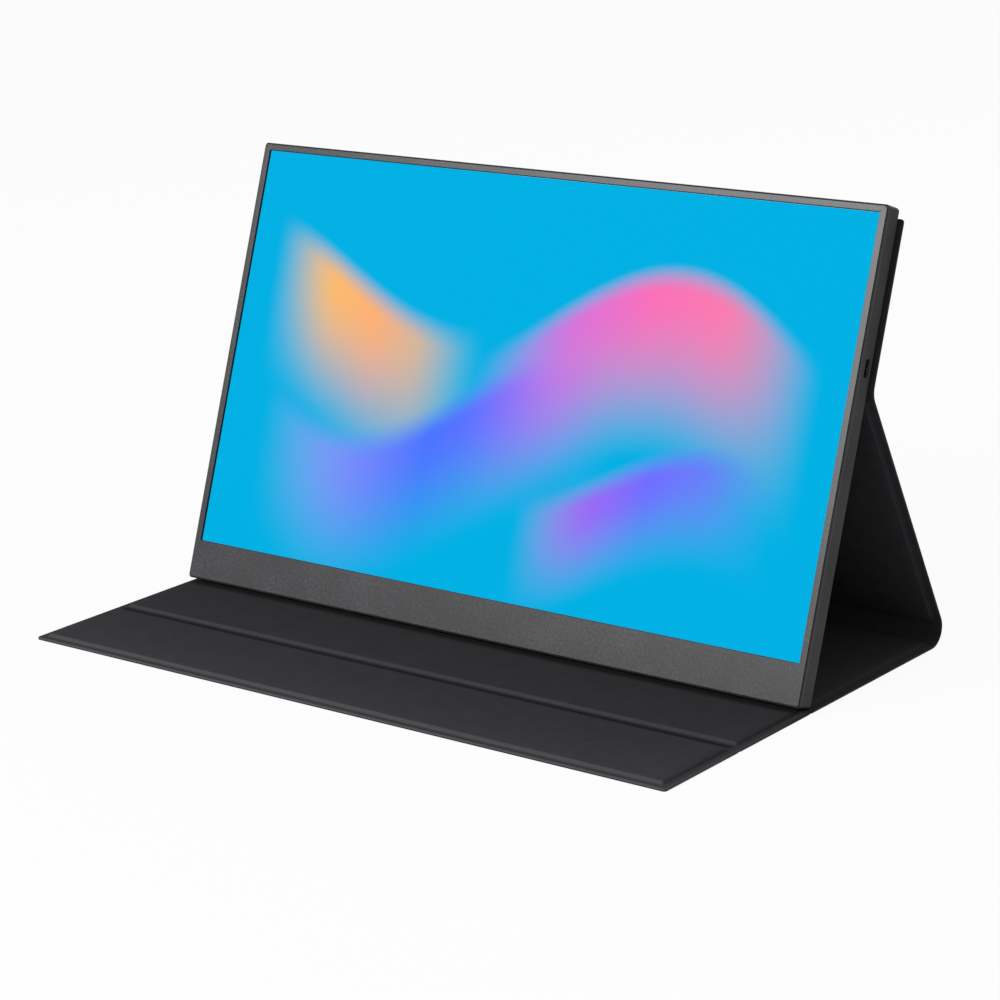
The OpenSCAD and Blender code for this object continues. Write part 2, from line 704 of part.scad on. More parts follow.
module power_button() color(housing_colour) on_monitor()
    translate([0, button_w, button_v]) cap(button_len, 0);

module menu_rocker() color(housing_colour) on_monitor() {
    translate([0, button_w, rocker_v]) cap(rocker_len, rocker_room);
    translate([0, button_w, rocker_v])
        block([-inner_x + rocker_room, -rocker_out + rocker_pin_r],
              [-button_high / 2 + 0.1, button_high / 2 - 0.1], [-1, 1]);
    translate([-rocker_out, button_w - button_high / 2 - pin_reach, rocker_v]) rotate([-90, 0, 0])
        cylinder(r = rocker_pin_r, h = button_high + 2 * pin_reach);
}

// Small push switches on the board, one behind the button and one behind each end of the rocker
module button_switches() color(chip_colour) on_monitor() {
    deep = -inner_x + flange_t + switch_gap;
    ends = rocker_len / 2 - 2;
    for (place = [[button_v, 0], [rocker_v - ends, rocker_room], [rocker_v + ends, rocker_room]])
        block([deep + place[1], main_x[0] + 4], [board_w + pcb_t, board_w + pcb_t + switch_t],
              [place[0] - switch_half, place[0] + switch_half]);
}

front_bezel();
rear_housing();
screen_tape();
screen_polariser();
lcd_cell();
module_frame();
film_stack();
light_guide();
reflector_sheet();
led_strip();
module_tray();
cell_flexes();
driver_board();
panel_cable();
main_board();
main_chips();
side_board();
side_cable();
usb_c_right();
usb_c_left();
mini_hdmi_socket();
audio_jack();
board_screws();
speaker_left();
speaker_right();
hold_plates();
button_switches();
power_button();
menu_rocker();
back_skin();
back_board();
back_lining();
back_magnets();
back_fold_strip();
prop_skin();
prop_board();
prop_lining();
spine_top_strip();
spine_skin();
spine_lining();
spine_bottom_strip();
base_skin();
base_board();
base_lining();
mid_groove_strip();
mid_skin();
mid_board();
mid_lining();
front_groove_strip();
front_skin();
front_board();
front_lining();
closing_magnets();
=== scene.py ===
# %% [markdown]
# # A portable monitor standing in its folding cover
# The real object is a slim screen held by magnets to a folding cover. The cover's rear half is the
# stand and its front half is a flap that lies on the desk. The imported CAD model gives every piece
# its place and size. This lesson dresses it: shells with soft edges, draped linings, folds between
# the panels, a lit picture, and a procedural finish for every piece.

# %% Load the imported model
import json
import math

import bmesh
import bpy
import numpy as np
from mathutils import Matrix, Vector


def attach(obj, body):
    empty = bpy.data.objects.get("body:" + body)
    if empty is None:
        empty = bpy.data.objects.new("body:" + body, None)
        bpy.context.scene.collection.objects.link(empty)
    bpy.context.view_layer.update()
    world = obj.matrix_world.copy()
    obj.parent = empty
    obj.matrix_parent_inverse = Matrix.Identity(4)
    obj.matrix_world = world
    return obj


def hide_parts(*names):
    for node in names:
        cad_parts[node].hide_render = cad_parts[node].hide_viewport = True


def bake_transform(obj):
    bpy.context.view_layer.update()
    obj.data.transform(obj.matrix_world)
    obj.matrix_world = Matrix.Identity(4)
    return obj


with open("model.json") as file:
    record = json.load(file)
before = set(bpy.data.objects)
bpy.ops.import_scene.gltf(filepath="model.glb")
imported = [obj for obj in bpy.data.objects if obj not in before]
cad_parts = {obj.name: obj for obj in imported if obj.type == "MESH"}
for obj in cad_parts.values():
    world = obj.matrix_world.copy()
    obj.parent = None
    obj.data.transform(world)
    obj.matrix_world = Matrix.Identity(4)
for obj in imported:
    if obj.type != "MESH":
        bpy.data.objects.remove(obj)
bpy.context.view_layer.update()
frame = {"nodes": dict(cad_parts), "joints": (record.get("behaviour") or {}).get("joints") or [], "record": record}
joints = {joint["name"]: joint for joint in frame["joints"]}
MM = 0.001


def add_object(name, data):
    """An object in the scene that holds this camera, lamp or mesh."""
    made = bpy.data.objects.new(name, data)
    bpy.context.scene.collection.objects.link(made)
    return made


# %% [markdown]
# ## The camera
# A product photograph is taken with a long lens, so that parallel edges stay nearly parallel. The
# camera's place and its directions were fitted to the edges of the screen and the cover.
# A camera in Blender looks along its own -Z, so the columns of its matrix are right, up and back.

# %% Set up the camera
CAMERA_PLACE = Vector((0.82789, -1.0408, 0.44302))
CAMERA_RIGHT = Vector((0.79177, 0.61012, -0.02906))
CAMERA_DOWN = Vector((0.14396, -0.23263, -0.96185))
SENSOR_MM = 36
FOCAL_MM = 109.94
FARTHEST_M = 20

camera_data = bpy.data.cameras.new("camera")
camera_data.sensor_width = SENSOR_MM
camera_data.lens = FOCAL_MM
camera_data.clip_end = FARTHEST_M
camera = add_object("camera", camera_data)
right = CAMERA_RIGHT.normalized()
up = -(CAMERA_DOWN - CAMERA_DOWN.dot(right) * right).normalized()
turned = Matrix((right, up, right.cross(up))).transposed().to_4x4()
camera.matrix_world = Matrix.Translation(CAMERA_PLACE) @ turned
bpy.context.scene.camera = camera
bpy.context.scene.view_settings.view_transform = "Standard"
print("camera at", [round(value, 3) for value in camera.location])

# %% [markdown]
# ## Small tools for materials
# Every finish is a node tree round one Principled shader. Short helpers keep the trees readable:
# they add a node and wire it, reckon with values, mix colours, and turn a height into a bump. Each
# works in the tree to which the node or output it is given belongs. Pieces made in this lesson
# carry their own place in millimetres as an attribute, so that a weave keeps its direction round a
# bend. Pieces from the CAD model use object coordinates.

# %% Helpers for materials
PLACE = "place"
# Blender's wave texture runs through this many radians in one unit at scale 1
WAVE_RADIANS = 20


def linear(*levels):
    """Colour for a shader from the 0 to 255 levels of a screen colour."""
    shares = [level / 255 for level in levels]
    return (*[s / 12.92 if s <= 0.04045 else ((s + 0.055) / 1.055) ** 2.4 for s in shares], 1.0)


def add(near, kind, inputs=None, **settings):
    """Adds a node beside near: settings are its options, inputs are values or outputs to wire in."""
    tree = near.id_data
    made = tree.nodes.new("ShaderNode" + kind)
    for key, value in settings.items():
        setattr(made, key, value)
    for key, value in (inputs or {}).items():
        if isinstance(value, bpy.types.NodeSocket):
            tree.links.new(value, made.inputs[key])
        else:
            made.inputs[key].default_value = value
    return made


def spaced(settings):
    """The same settings with spaces in their names, as Blender's inputs have them."""
    return {key.replace("_", " "): value for key, value in settings.items()}


def start_finish(name, made_here=True, **constants):
    """An empty finish: its material, its shader, and the place on the piece in mm."""
    material = bpy.data.materials.new(name)
    material.use_nodes = True
    shader = material.node_tree.nodes["Principled BSDF"]
    for key, value in spaced(constants).items():
        shader.inputs[key].default_value = value
    if made_here:
        place = add(shader, "Attribute", attribute_name=PLACE).outputs["Vector"]
    else:
        corner = add(shader, "TexCoord").outputs["Object"]
        scaled = add(corner, "VectorMath", {0: corner, "Scale": 1 / MM}, operation="SCALE")
        place = scaled.outputs["Vector"]
    return material, shader, place


def wire(shader, **outputs):
    """Wires outputs into the shader's inputs."""
    for key, value in spaced(outputs).items():
        shader.id_data.links.new(value, shader.inputs[key])


def noise(place, size, detail=2.0, roughness=0.5):
    """Noise whose blotches are about size millimetres."""
    inputs = {"Vector": place, "Scale": 1 / size, "Detail": detail, "Roughness": roughness}
    return add(place, "TexNoise", inputs).outputs["Fac"]


def stripes(place, axis, pitch, **unevenness):
    """Soft bands across one direction of the piece, pitch millimetres apart."""
    inputs = {"Vector": place, "Scale": math.tau / pitch / WAVE_RADIANS, **spaced(unevenness)}
    return add(place, "TexWave", inputs, bands_direction=axis).outputs["Fac"]


def stretched(place, share):
    """The place with its X shrunk to a share, so that noise is drawn out along X."""
    made = add(place, "VectorMath", {0: place, 1: (share, 1, 1)}, operation="MULTIPLY")
    return made.outputs["Vector"]


def reckon(operation, *values):
    """The result of ADD, MULTIPLY, SINE or the like, the first value being an output."""
    return add(values[0], "Math", dict(enumerate(values)), operation=operation).outputs["Value"]


def span(factor, low, high, to_low=0.0, to_high=1.0, curve="LINEAR"):
    """Value that runs from to_low to to_high while the factor goes from low to high."""
    inputs = {"Value": factor, "From Min": low, "From Max": high, "To Min": to_low, "To Max": to_high}
    return add(factor, "MapRange", inputs, interpolation_type=curve).outputs["Result"]


def between(factor, low, high, dark, light):
    """Colour that runs from dark to light while the factor goes from low to high."""
    ramp = add(factor, "ValToRGB", {"Fac": factor})
    for stop, position, colour in zip(ramp.color_ramp.elements, (low, high), (dark, light)):
        stop.position = position
        stop.color = colour
    return ramp.outputs["Color"]


def mix(factor, under, over):
    """Colour that goes from under to over while the factor goes from 0 to 1."""
    return add(factor, "Mix", {0: factor, 6: under, 7: over}, data_type="RGBA").outputs[2]


def bump(height, depth_mm, strength=1.0, normal=None):
    """Turns a height from 0 to 1 into a bump of so many millimetres."""
    inputs = {"Height": height, "Distance": depth_mm * MM, "Strength": strength}
    if normal is not None:
        inputs["Normal"] = normal
    return add(height, "Bump", inputs).outputs["Normal"]


def seen_by(near, *rays):
    """1 for a ray of one of these kinds, such as "Camera" or "Glossy", and 0 for any other."""
    path = add(near, "LightPath").outputs
    seen = path[f"Is {rays[0]} Ray"]
    for ray in rays[1:]:
        seen = reckon("MAXIMUM", seen, path[f"Is {ray} Ray"])
    return seen


finishes = {}
print("helpers ready")

# %% [markdown]
# ## Bezel finish
# The frame round the picture is moulded plastic with a spark-eroded surface. From a step away it is
# mid grey with tiny lighter and darker specks. Fine noise for the specks and a broad one for the
# unevenness of the mould would both be too regular alone, so they are mixed.

# %% Finish of the bezel
finishes["bezel"], shader, place = start_finish("speckled_plastic", Specular_IOR_Level=0.42)
fine = noise(place, 0.5, detail=3, roughness=0.7)
coarse = noise(place, 1.3, detail=2, roughness=0.6)
specks = span(reckon("ADD", fine, coarse), 0, 2)
clouds = span(noise(place, 26), 0.3, 0.7, -0.05, 0.05)
mixed = reckon("ADD", specks, clouds)
colour = between(mixed, 0.47, 0.66, linear(40, 40, 43), linear(71, 71, 74))
wire(shader, Base_Color=colour, Roughness=span(specks, 0.35, 0.65, 0.28, 0.36),
     Normal=bump(specks, 0.04, 0.5))
print("bezel finish made")

# %% [markdown]
# ## Housing finish
# The rear shell and the two keys are darker, with a satin grain that is too fine to see as specks.
# Grain goes into the bump, and the colour hardly changes. A painted highlight makes the rim's chamfer
# paler, and the paler band fades out a little way along the side.

# %% Finish of the housing
# Depths behind the monitor's face in mm: where the painted highlight on the rim sets in, and where it fades out
RIM_HIGHLIGHT_SETS_IN = (0.38, 0.45)
RIM_HIGHLIGHT_FADES = (2.3, 1.5)
finishes["housing"], shader, place = start_finish("satin_charcoal_plastic", Specular_IOR_Level=0.16)
grain = noise(place, 0.3, detail=4, roughness=0.6)
handling = noise(place, 30, detail=3)
colour = between(grain, 0.25, 0.75, linear(29, 29, 32), linear(40, 40, 43))
depth = add(place, "SeparateXYZ", {"Vector": place}).outputs["Y"]
# painted highlight: a paler band along the rim's chamfer and the front of the side
rim = reckon("MULTIPLY", span(depth, *RIM_HIGHLIGHT_FADES), span(depth, *RIM_HIGHLIGHT_SETS_IN))
wire(shader, Base_Color=mix(rim, colour, linear(56, 56, 58)),
     Roughness=span(handling, 0.3, 0.7, 0.42, 0.54), Normal=bump(grain, 0.02, 0.5))
print("housing finish made")

# %% [markdown]
# ## Finish of the outer skin
# The outside of the cover is soft coated fabric, embossed like fine leather. Leather grain is a net
# of small cells with soft valleys between them, which a Voronoi texture gives. Noise pushes the
# cells about, so that no two look alike.

# %% Finish of the outer skin
CELL_MM = 0.75
PUSH_MM = 0.5
finishes["cover_skin"], shader, place = start_finish("black_grained_skin", Specular_IOR_Level=0.18)
push = add(place, "TexNoise", {"Vector": place, "Scale": 1.2, "Detail": 1.0}).outputs["Color"]
moved = add(place, "VectorMath", {0: push, "Scale": PUSH_MM}, operation="SCALE").outputs["Vector"]
bent = add(place, "VectorMath", {0: place, 1: moved}, operation="ADD").outputs["Vector"]
net = add(place, "TexVoronoi", {"Vector": bent, "Scale": 1 / CELL_MM}, feature="SMOOTH_F1")
cells = net.outputs["Distance"]
broad = noise(place, 45, detail=3)
colour = between(cells, 0.1, 0.7, linear(20, 20, 21), linear(14, 14, 15))
first = bump(broad, 0.25, 0.35)
wire(shader, Base_Color=colour, Roughness=span(broad, 0.3, 0.7, 0.46, 0.6),
     Normal=bump(cells, 0.06, 0.45, first))
print("skin finish made")

# %% [markdown]
# ## Finish of the lining
# The inside of the cover is a dark fabric with a very fine rib. Two crossed waves stand for the rib
# and the yarns between the ribs. They follow the cloth's own directions, across and along the
# cover. A little sheen lifts the cloth where it is seen at a low angle, as fibres do. The lining
# also carries a value of painted light and shade: above zero for painted highlights on slopes and
# edges, below zero for painted shade in the folds and by the monitor's foot.

# %% Finish of the lining
RIB_MM = 1.5
YARN_MM = 1.1
# name of the attribute that carries the painted light and shade
LIGHT_SHADE_ATTRIBUTE = "painted_light_and_shade"
finishes["cover_lining"], shader, place = start_finish(
    "fine_ribbed_lining", Specular_IOR_Level=0.0, Sheen_Weight=0.04, Sheen_Roughness=0.5)
ribs, yarns = [stripes(place, axis, pitch, Distortion=0.6, Detail=1.0, Detail_Scale=1.5)
               for axis, pitch in (("X", RIB_MM), ("Y", YARN_MM))]
weave = span(reckon("ADD", ribs, yarns), 0, 2)
fuzz = noise(place, 7, detail=4)
shade = reckon("ADD", weave, span(fuzz, 0.3, 0.7, -0.2, 0.2))
colour = between(shade, 0.1, 0.9, linear(49, 49, 52), linear(60, 60, 63))
painted_light_and_shade = add(place, "Attribute", attribute_name=LIGHT_SHADE_ATTRIBUTE).outputs["Fac"]
# painted highlight where the painted value is above zero, then painted shade where it is below zero
with_painted_highlight = mix(span(painted_light_and_shade, 0, 1), colour, linear(96, 96, 100))
wire(shader, Base_Color=mix(span(painted_light_and_shade, 0, -1), with_painted_highlight, linear(18, 18, 20)),
     Roughness=span(fuzz, 0.3, 0.7, 0.8, 0.9), Normal=bump(weave, 0.05, 0.5))
print("lining finish made")

# %% [markdown]
# ## The picture on the screen
# The screen shows flowing ribbons of colour on cyan. Each ribbon follows a sine wave: it is crisp
# above its crest, fades out below, and changes its colour along its length. The picture is light, so
# it goes into the shader's emission and looks the same whatever lamp shines on it. A studio's lamps
# drown what a screen throws on the desk, so only the camera and shiny surfaces see its full light.

# %% Finish of the picture
CYAN = linear(0, 176, 228)
THROWN = 0.1
# A ribbon is whole out to this share of its half length and fades out from there
FADE_FROM = 0.35
# Each ribbon: crest height, swing, length of a wave and its start, crisp side, soft side, both ends,
# all in mm, and its colours from left to right
RIBBONS = [
    (150, 24, 300, 40, 16, 70, (-158, -20), [(250, 202, 86), (252, 176, 120), (120, 190, 200)]),
    (96, 26, 250, -30, 18, 64, (-150, 60), [(160, 166, 246), (74, 116, 255), (140, 112, 255)]),
    (138, 30, 280, 10, 14, 76, (-30, 160), [(150, 120, 255), (250, 112, 186), (250, 138, 160)]),
    (74, 18, 210, 60, 14, 46, (10, 150), [(196, 100, 232), (112, 110, 255), (90, 150, 240)]),
]
finishes["picture"], shader, place = start_finish(
    "lit_picture", Specular_IOR_Level=0.0, Roughness=0.5, Base_Color=linear(3, 3, 4))
parts = add(place, "SeparateXYZ", {"Vector": place})
x, z = parts.outputs["X"], parts.outputs["Z"]
colour = CYAN
for crest, swing, wave, start, crisp, soft, ends, paints in RIBBONS:
    turn = span(x, start, start + wave, 0, math.tau)
    turn.node.clamp = False
    lift = reckon("MULTIPLY_ADD", reckon("SINE", turn), -swing, z)
    above = span(lift, crest + crisp, crest, curve="SMOOTHSTEP")
    below = span(lift, crest - soft, crest, curve="SMOOTHSTEP")
    from_middle = reckon("ABSOLUTE", span(x, *ends, -1, 1))
    inside = span(from_middle, 1.0, FADE_FROM, curve="SMOOTHSTEP")
    band = reckon("MULTIPLY", above, below)
    ramp = add(place, "ValToRGB", {"Fac": span(x, *ends)})
    ramp.color_ramp.elements.new(0.5)
    for stop, paint in zip(ramp.color_ramp.elements, paints):
        stop.color = linear(*paint)
    colour = mix(reckon("MULTIPLY", band, inside), colour, ramp.outputs["Color"])
strength = span(seen_by(shader, "Camera", "Glossy", "Transmission"), 0, 1, THROWN, 1.0)
wire(shader, Emission_Color=colour, Emission_Strength=strength)
print("picture has", len(RIBBONS), "ribbons")

# %% [markdown]
# ## Finishes of the metals
# The pieces inside show little, so one pattern is enough for each: it sets the colour, the relief
# and, on some, the roughness. The screen's tray and the plates for the magnets are rolled sheet:
# noise stretched a long way in one direction draws the rolling marks. Sockets and magnets are
# plated, so they are smoother.

# %% Finishes of the metals
def patterned(name, pattern_at, dark, light, relief, stops=(0.3, 0.7), rough=None, made_here=False,
              **constants):
    """A finish from one pattern: relief is (mm, strength), stops are its values for dark and light."""
    material, shader, place = start_finish(name, made_here, **constants)
    pattern = pattern_at(place)
    wire(shader, Base_Color=between(pattern, *stops, linear(*dark), linear(*light)),
         Normal=bump(pattern, *relief))
    if rough:
        wire(shader, Roughness=span(pattern, 0.3, 0.7, *rough))
    return material


def rolling_marks(place):
    return noise(stretched(place, 0.02), 0.4, detail=3)


def plated_finish(name, low, high, made_here=False):
    return patterned(name, lambda place: noise(place, 1.5, detail=4),
                     (low, low, low + 2), (high, high, high + 2), (0.01, 0.3),
                     rough=(0.2, 0.34), made_here=made_here, Metallic=1.0)


finishes["steel"] = patterned("rolled_steel", rolling_marks, (166, 167, 170), (196, 197, 200),
                              (0.01, 0.4), rough=(0.28, 0.42), Metallic=1.0)
finishes["sockets"] = plated_finish("plated_shell", 176, 206)
print("metals made")

# %% [markdown]
# ## Finishes of the plastics inside
# The black parts inside, such as the moulded module frame, chips, speakers and the jack, differ only
# in grain and shade, so one function serves them. The screen's foam tape is deeper black with pores.

# %% Finishes of the black parts inside
def black_finish(name, grain_mm, depth_mm, roughness, level=24, made_here=False):
    light = level + 12
    return patterned(name, lambda place: noise(place, grain_mm, detail=3),
                     (level, level, level + 1), (light, light, light + 1), (depth_mm, 0.5),
                     rough=(roughness - 0.06, roughness + 0.06), made_here=made_here,
                     Specular_IOR_Level=0.4)


finishes["tape"] = black_finish("foam_tape", 0.5, 0.15, 0.85, level=8)
finishes["frame"] = black_finish("moulded_frame", 0.4, 0.03, 0.5)
finishes["chips"] = black_finish("black_moulding", 0.25, 0.03, 0.55)
print("black plastics made")

# %% [markdown]
# ## Finishes of the screen's layers
# Behind the glass lie diffusing films, an acrylic guide and a white reflector. At one edge a row of
# lamps feeds the guide: a wave across the strip sets yellow lamp windows on a white board. The
# glass cell is dark and smooth, with faint rows of pixels.

# %% Finishes of the screen's layers
LAMP_STEP_MM = 6
PIXEL_ROWS_MM = 0.5
finishes["films"] = patterned("diffusing_film", lambda place: noise(place, 3, detail=3),
                              (226, 227, 232), (242, 242, 244), (0.01, 0.3), Roughness=0.35)
finishes["lamps"] = patterned("lamp_strip", lambda place: stripes(place, "X", LAMP_STEP_MM),
                              (236, 236, 230), (240, 214, 110), (0.1, 0.5), (0.45, 0.55), Roughness=0.4)
finishes["cell"], shader, place = start_finish("glass_cell", False, Roughness=0.08)
rows = stripes(place, "X", PIXEL_ROWS_MM)
wire(shader, Base_Color=between(rows, 0, 1, linear(26, 30, 34), linear(32, 36, 42)),
     Normal=bump(noise(place, 8), 0.01, 0.2))
print("films, lamps and cell made")

# %% [markdown]
# ## Finishes of the circuits and boards
# A circuit board is green lacquer over copper tracks. A brick pattern with random brick tones looks
# like runs of tracks under lacquer. The flat ribbons are amber film with copper lines, which are
# waves along their length. The boards inside the cover are pressed grey board, and noise drawn out
# along one direction stands for its fibres.

# %% Finishes of the circuits and boards
LINE_STEP_MM = 0.8


def tracks(place):
    """Bricks of random grey with thin white gaps."""
    greys = {"Color1": (0.2, 0.2, 0.2, 1), "Color2": (0.8, 0.8, 0.8, 1), "Mortar": (1, 1, 1, 1)}
    return add(place, "TexBrick", {"Vector": place, "Scale": 0.3, "Mortar Size": 0.06,
                                  "Mortar Smooth": 0.2, **greys}).outputs["Color"]


def fibres(place):
    return noise(stretched(place, 0.2), 0.8, detail=5, roughness=0.7)


finishes["boards"] = patterned("green_circuit_board", tracks, (16, 84, 52), (42, 128, 84), (0.04, 0.5),
                               (0.1, 1), Roughness=0.35)
finishes["ribbons"] = patterned("amber_ribbon", lambda place: stripes(place, "X", LINE_STEP_MM),
                                (176, 118, 44), (206, 150, 84), (0.03, 0.4), (0.4, 0.6), Roughness=0.3)
finishes["board"] = patterned("pressed_grey_board", fibres, (134, 126, 116), (164, 156, 144),
                              (0.08, 0.6), Roughness=0.85)
print("finishes:", ", ".join(finishes))

# %% [markdown]
# ## Dress the pieces that stay from the CAD model
# Boards, films, chips and magnets inside have the right shape already. Each takes the finish of the
# material slot that the record gives it. The pieces that show are replaced further on.

# %% Give the CAD pieces their finishes
for subpart in frame["record"]["subparts"]:
    node = frame["nodes"][subpart["node"]]
    node.data.materials.clear()
    node.data.materials.append(finishes[subpart["material_slot"]])

# %% [markdown]
# ## Tools for building meshes
# Most pieces of this object are lofts: closed outlines, one after the other, joined by strips of
# faces. An outline is a rounded rectangle or a slot with round ends. The points start out in the
# piece's own millimetres, which are stored as the place for the textures, and then the piece is
# set into the model.

# %% Helpers for meshes
FLAT_WEIGHT = 80


def make_piece(name, points, faces, seat, finish, smooth_deg=35):
    """A mesh object from points in mm: seat is the matrix that carries them into the model."""
    mesh = bpy.data.meshes.new(name)
    mesh.from_pydata([Vector(point) for point in points], [], faces)
    work = bmesh.new()
    work.from_mesh(mesh)
    bmesh.ops.recalc_face_normals(work, faces=work.faces)
    work.to_mesh(mesh)
    work.free()
    piece = add_object(name, mesh)
    settle(piece, seat, finish, smooth_deg)
    return piece


def settle(piece, seat, finish, smooth_deg=35):
    """Stores each point's place for the textures, moves the mesh into the model and smooths it."""
    mesh = piece.data
    places = np.zeros(len(mesh.vertices) * 3, np.float32)
    mesh.vertices.foreach_get("co", places)
    if PLACE not in mesh.attributes:
        mesh.attributes.new(PLACE, "FLOAT_VECTOR", "POINT")
    mesh.attributes[PLACE].data.foreach_set("vector", places)
    mesh.transform(seat)
    mesh.polygons.foreach_set("use_smooth", [True] * len(mesh.polygons))
    mesh.set_sharp_from_angle(angle=math.radians(smooth_deg))
    mesh.materials.clear()
    mesh.materials.append(finish)
    mesh.update()


def hand_over(piece, body, slot, *nodes):
    """Names the body that the piece rides on and the nodes that it replaces, which it hides; slot is not used."""
    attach(piece, body)
    if nodes:
        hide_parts(*nodes)


def rounded_ring(across, high, radius, depth, steps=8):
    """Points round a rectangle with round corners: across and high are (low, high)."""
    left, right = across[0] + radius, across[1] - radius
    bottom, top = high[0] + radius, high[1] - radius
    points = []
    for quarter, (x, z) in enumerate([(right, top), (left, top), (left, bottom), (right, bottom)]):
        for step in range(steps + 1):
            angle = math.radians(90 * quarter + 90 * step / steps)
            points.append((x + radius * math.cos(angle), depth, z + radius * math.sin(angle)))
    return points


def loft(rings, closed=False):
    """Faces between rings with equal numbers of points: with caps, or closed from last to first."""
    count = len(rings[0])
    points = [point for ring in rings for point in ring]
    faces = []
    for level in range(len(rings) - (0 if closed else 1)):
        here, there = level * count, (level + 1) % len(rings) * count
        for i in range(count):
            j = (i + 1) % count
            faces.append((here + i, here + j, there + j, there + i))
    if not closed:
        faces.append(tuple(reversed(range(count))))
        faces.append(tuple(range((len(rings) - 1) * count, len(rings) * count)))
    return points, faces


def join_lofts(*lofts):
    """Several lofts as one list of points and one list of faces."""
    points, faces = [], []
    for more_points, more_faces in lofts:
        start = len(points)
        points += more_points
        faces += [tuple(start + corner for corner in face) for face in more_faces]
    return points, faces


def carve(piece, cutter):
    """Takes the cutter's shape out of the piece and removes the cutter."""
    cut = piece.modifiers.new("cut", "BOOLEAN")
    cut.operation, cut.solver, cut.object = "DIFFERENCE", "EXACT", cutter
    bpy.context.view_layer.update()
    carved = bpy.data.meshes.new_from_object(piece.evaluated_get(bpy.context.evaluated_depsgraph_get()))
    piece.modifiers.clear()
    piece.data = carved
    bpy.data.objects.remove(cutter)


def even_shading(piece):
    """Lets the large flat faces set the shading, so that they look flat beside their round edges."""
    weights = piece.modifiers.new("even_shading", "WEIGHTED_NORMAL")
    weights.keep_sharp = True
    weights.weight = FLAT_WEIGHT


print("mesh tools ready")

# %% [markdown]
# ## The monitor's own directions
# The monitor leans back. The joint by which it lifts off its magnets points straight out of the
# screen, which gives the lean. Measured along its own directions, the CAD pieces give the rest: how
# wide, high and deep it is, and where the picture lies.

# %% Measure the monitor
lift_axis = Vector(joints["monitor_lift_off"]["axis"])
ACROSS = Vector((1, 0, 0))
INTO = -lift_axis.normalized()
UPWARD = ACROSS.cross(INTO)


def extent(name, direction):
    """Lowest and highest place of a CAD node along a direction, in mm."""
    places = [vertex.co.dot(direction) / MM for vertex in frame["nodes"][name].data.vertices]
    return min(places), max(places)


face_at = extent("front_bezel", INTO)[0]
foot_at, head_at = extent("rear_housing", UPWARD)
half_wide = extent("rear_housing", ACROSS)[1]
high = head_at - foot_at
thick = extent("rear_housing", INTO)[1] - face_at
bezel_thick = extent("front_bezel", INTO)[1] - face_at
front_foot = (INTO * face_at + UPWARD * foot_at) * MM
turned = Matrix((ACROSS, INTO, UPWARD)).transposed().to_4x4()
in_monitor = Matrix.Translation(front_foot) @ turned @ Matrix.Scale(MM, 4)
picture_half = extent("screen_polariser", ACROSS)[1]
picture_high = [value - foot_at for value in extent("screen_polariser", UPWARD)]
picture_deep = [value - face_at for value in extent("screen_polariser", INTO)]
print(f"monitor {2 * half_wide:.1f} x {high:.1f} x {thick:.2f} mm, picture {2 * picture_half:.1f} mm")

# %% [markdown]
# ## Rear housing
# The housing is one moulding: a thin lip round the bezel, a small chamfer that catches the light,
# flat sides, and a round into the flat rear. It could be cut from a block with bevels, but lofting
# the real profile round the outline keeps every edge at its true radius. The loft starts inside, so
# it makes a shell with a step on which the bezel rests. Sockets, keys and the speaker holes are then
# cut through with one Boolean.

# %% Loft the housing's shell
WALL = 1.2
LIP = 0.6
RIM_DROP = 0.35
RIM_CHAMFER = 0.3
EDGE_ROUND = 1.1
CORNER_ROUND = 1.7
CAVITY_ROUND = 0.9
SOFT = 0.08
ROUND_STEPS = 10


def monitor_ring(inset, depth, radius):
    """An outline parallel to the monitor's own, at a depth behind its face."""
    return rounded_ring((-half_wide + inset, half_wide - inset), (inset, high - inset), radius, depth)


# (inset, depth) from the cavity, over the step, the lip and the side, to the rear face
bevel = RIM_DROP + RIM_CHAMFER
profile = [(WALL, thick - WALL), (WALL, bezel_thick), (LIP, bezel_thick), (LIP, RIM_DROP + SOFT),
           (LIP - SOFT, RIM_DROP), (RIM_CHAMFER + SOFT, RIM_DROP),
           (RIM_CHAMFER - SOFT / 2, RIM_DROP + SOFT / 2),
           (SOFT / 2, bevel - SOFT / 2), (0, bevel + SOFT)]
for step in range(ROUND_STEPS + 1):
    angle = math.radians(90 * step / ROUND_STEPS)
    profile.append((EDGE_ROUND * (1 - math.cos(angle)), thick - EDGE_ROUND * (1 - math.sin(angle))))
outside = [monitor_ring(inset, depth, max(CORNER_ROUND - inset, CAVITY_ROUND))
           for inset, depth in profile]
housing = make_piece("housing_shell", *loft(outside), Matrix.Identity(4), finishes["housing"])
print("housing shell has", len(housing.data.polygons), "faces")

# %% [markdown]
# ## Cut the sockets, the keys and the speaker holes
# Each opening is a slot with round ends, a D or a round hole, through a side or the rear. A cutter
# is a loft that is a little wider at the surface, so it leaves a small chamfer at the mouth, as a
# mould does. The places come from the pieces that sit in the openings.

# %% Cut the openings
MOUTH = 0.16
GAP = 0.08
CUT_DEEP = 2
USB_LONG, USB_HIGH = 9.2, 3.0
HDMI_HALF, HDMI_TALL, HDMI_CORNER, HDMI_WAIST = 5.6, 1.6, 1.3, 0.3
JACK_HOLE = 4.4
POWER_LONG, ROCKER_LONG, KEY_HIGH = 8, 17, 2.4
HOLE_RADIUS = 0.6
HOLE_STEP = (2.6, 2.4)
HOLE_CORNERS = 16


def slot_outline(length, height, grow=0.0, steps=8):
    """Slot with round ends round the origin, as (depth, up) points."""
    radius = height / 2 + grow
    straight = (length - height) / 2
    points = []
    for side in (1, -1):
        for step in range(steps + 1):
            angle = math.radians(90 * (1 - side) + 180 * step / steps)
            points.append((radius * math.cos(angle), side * straight + radius * math.sin(angle)))
    return points


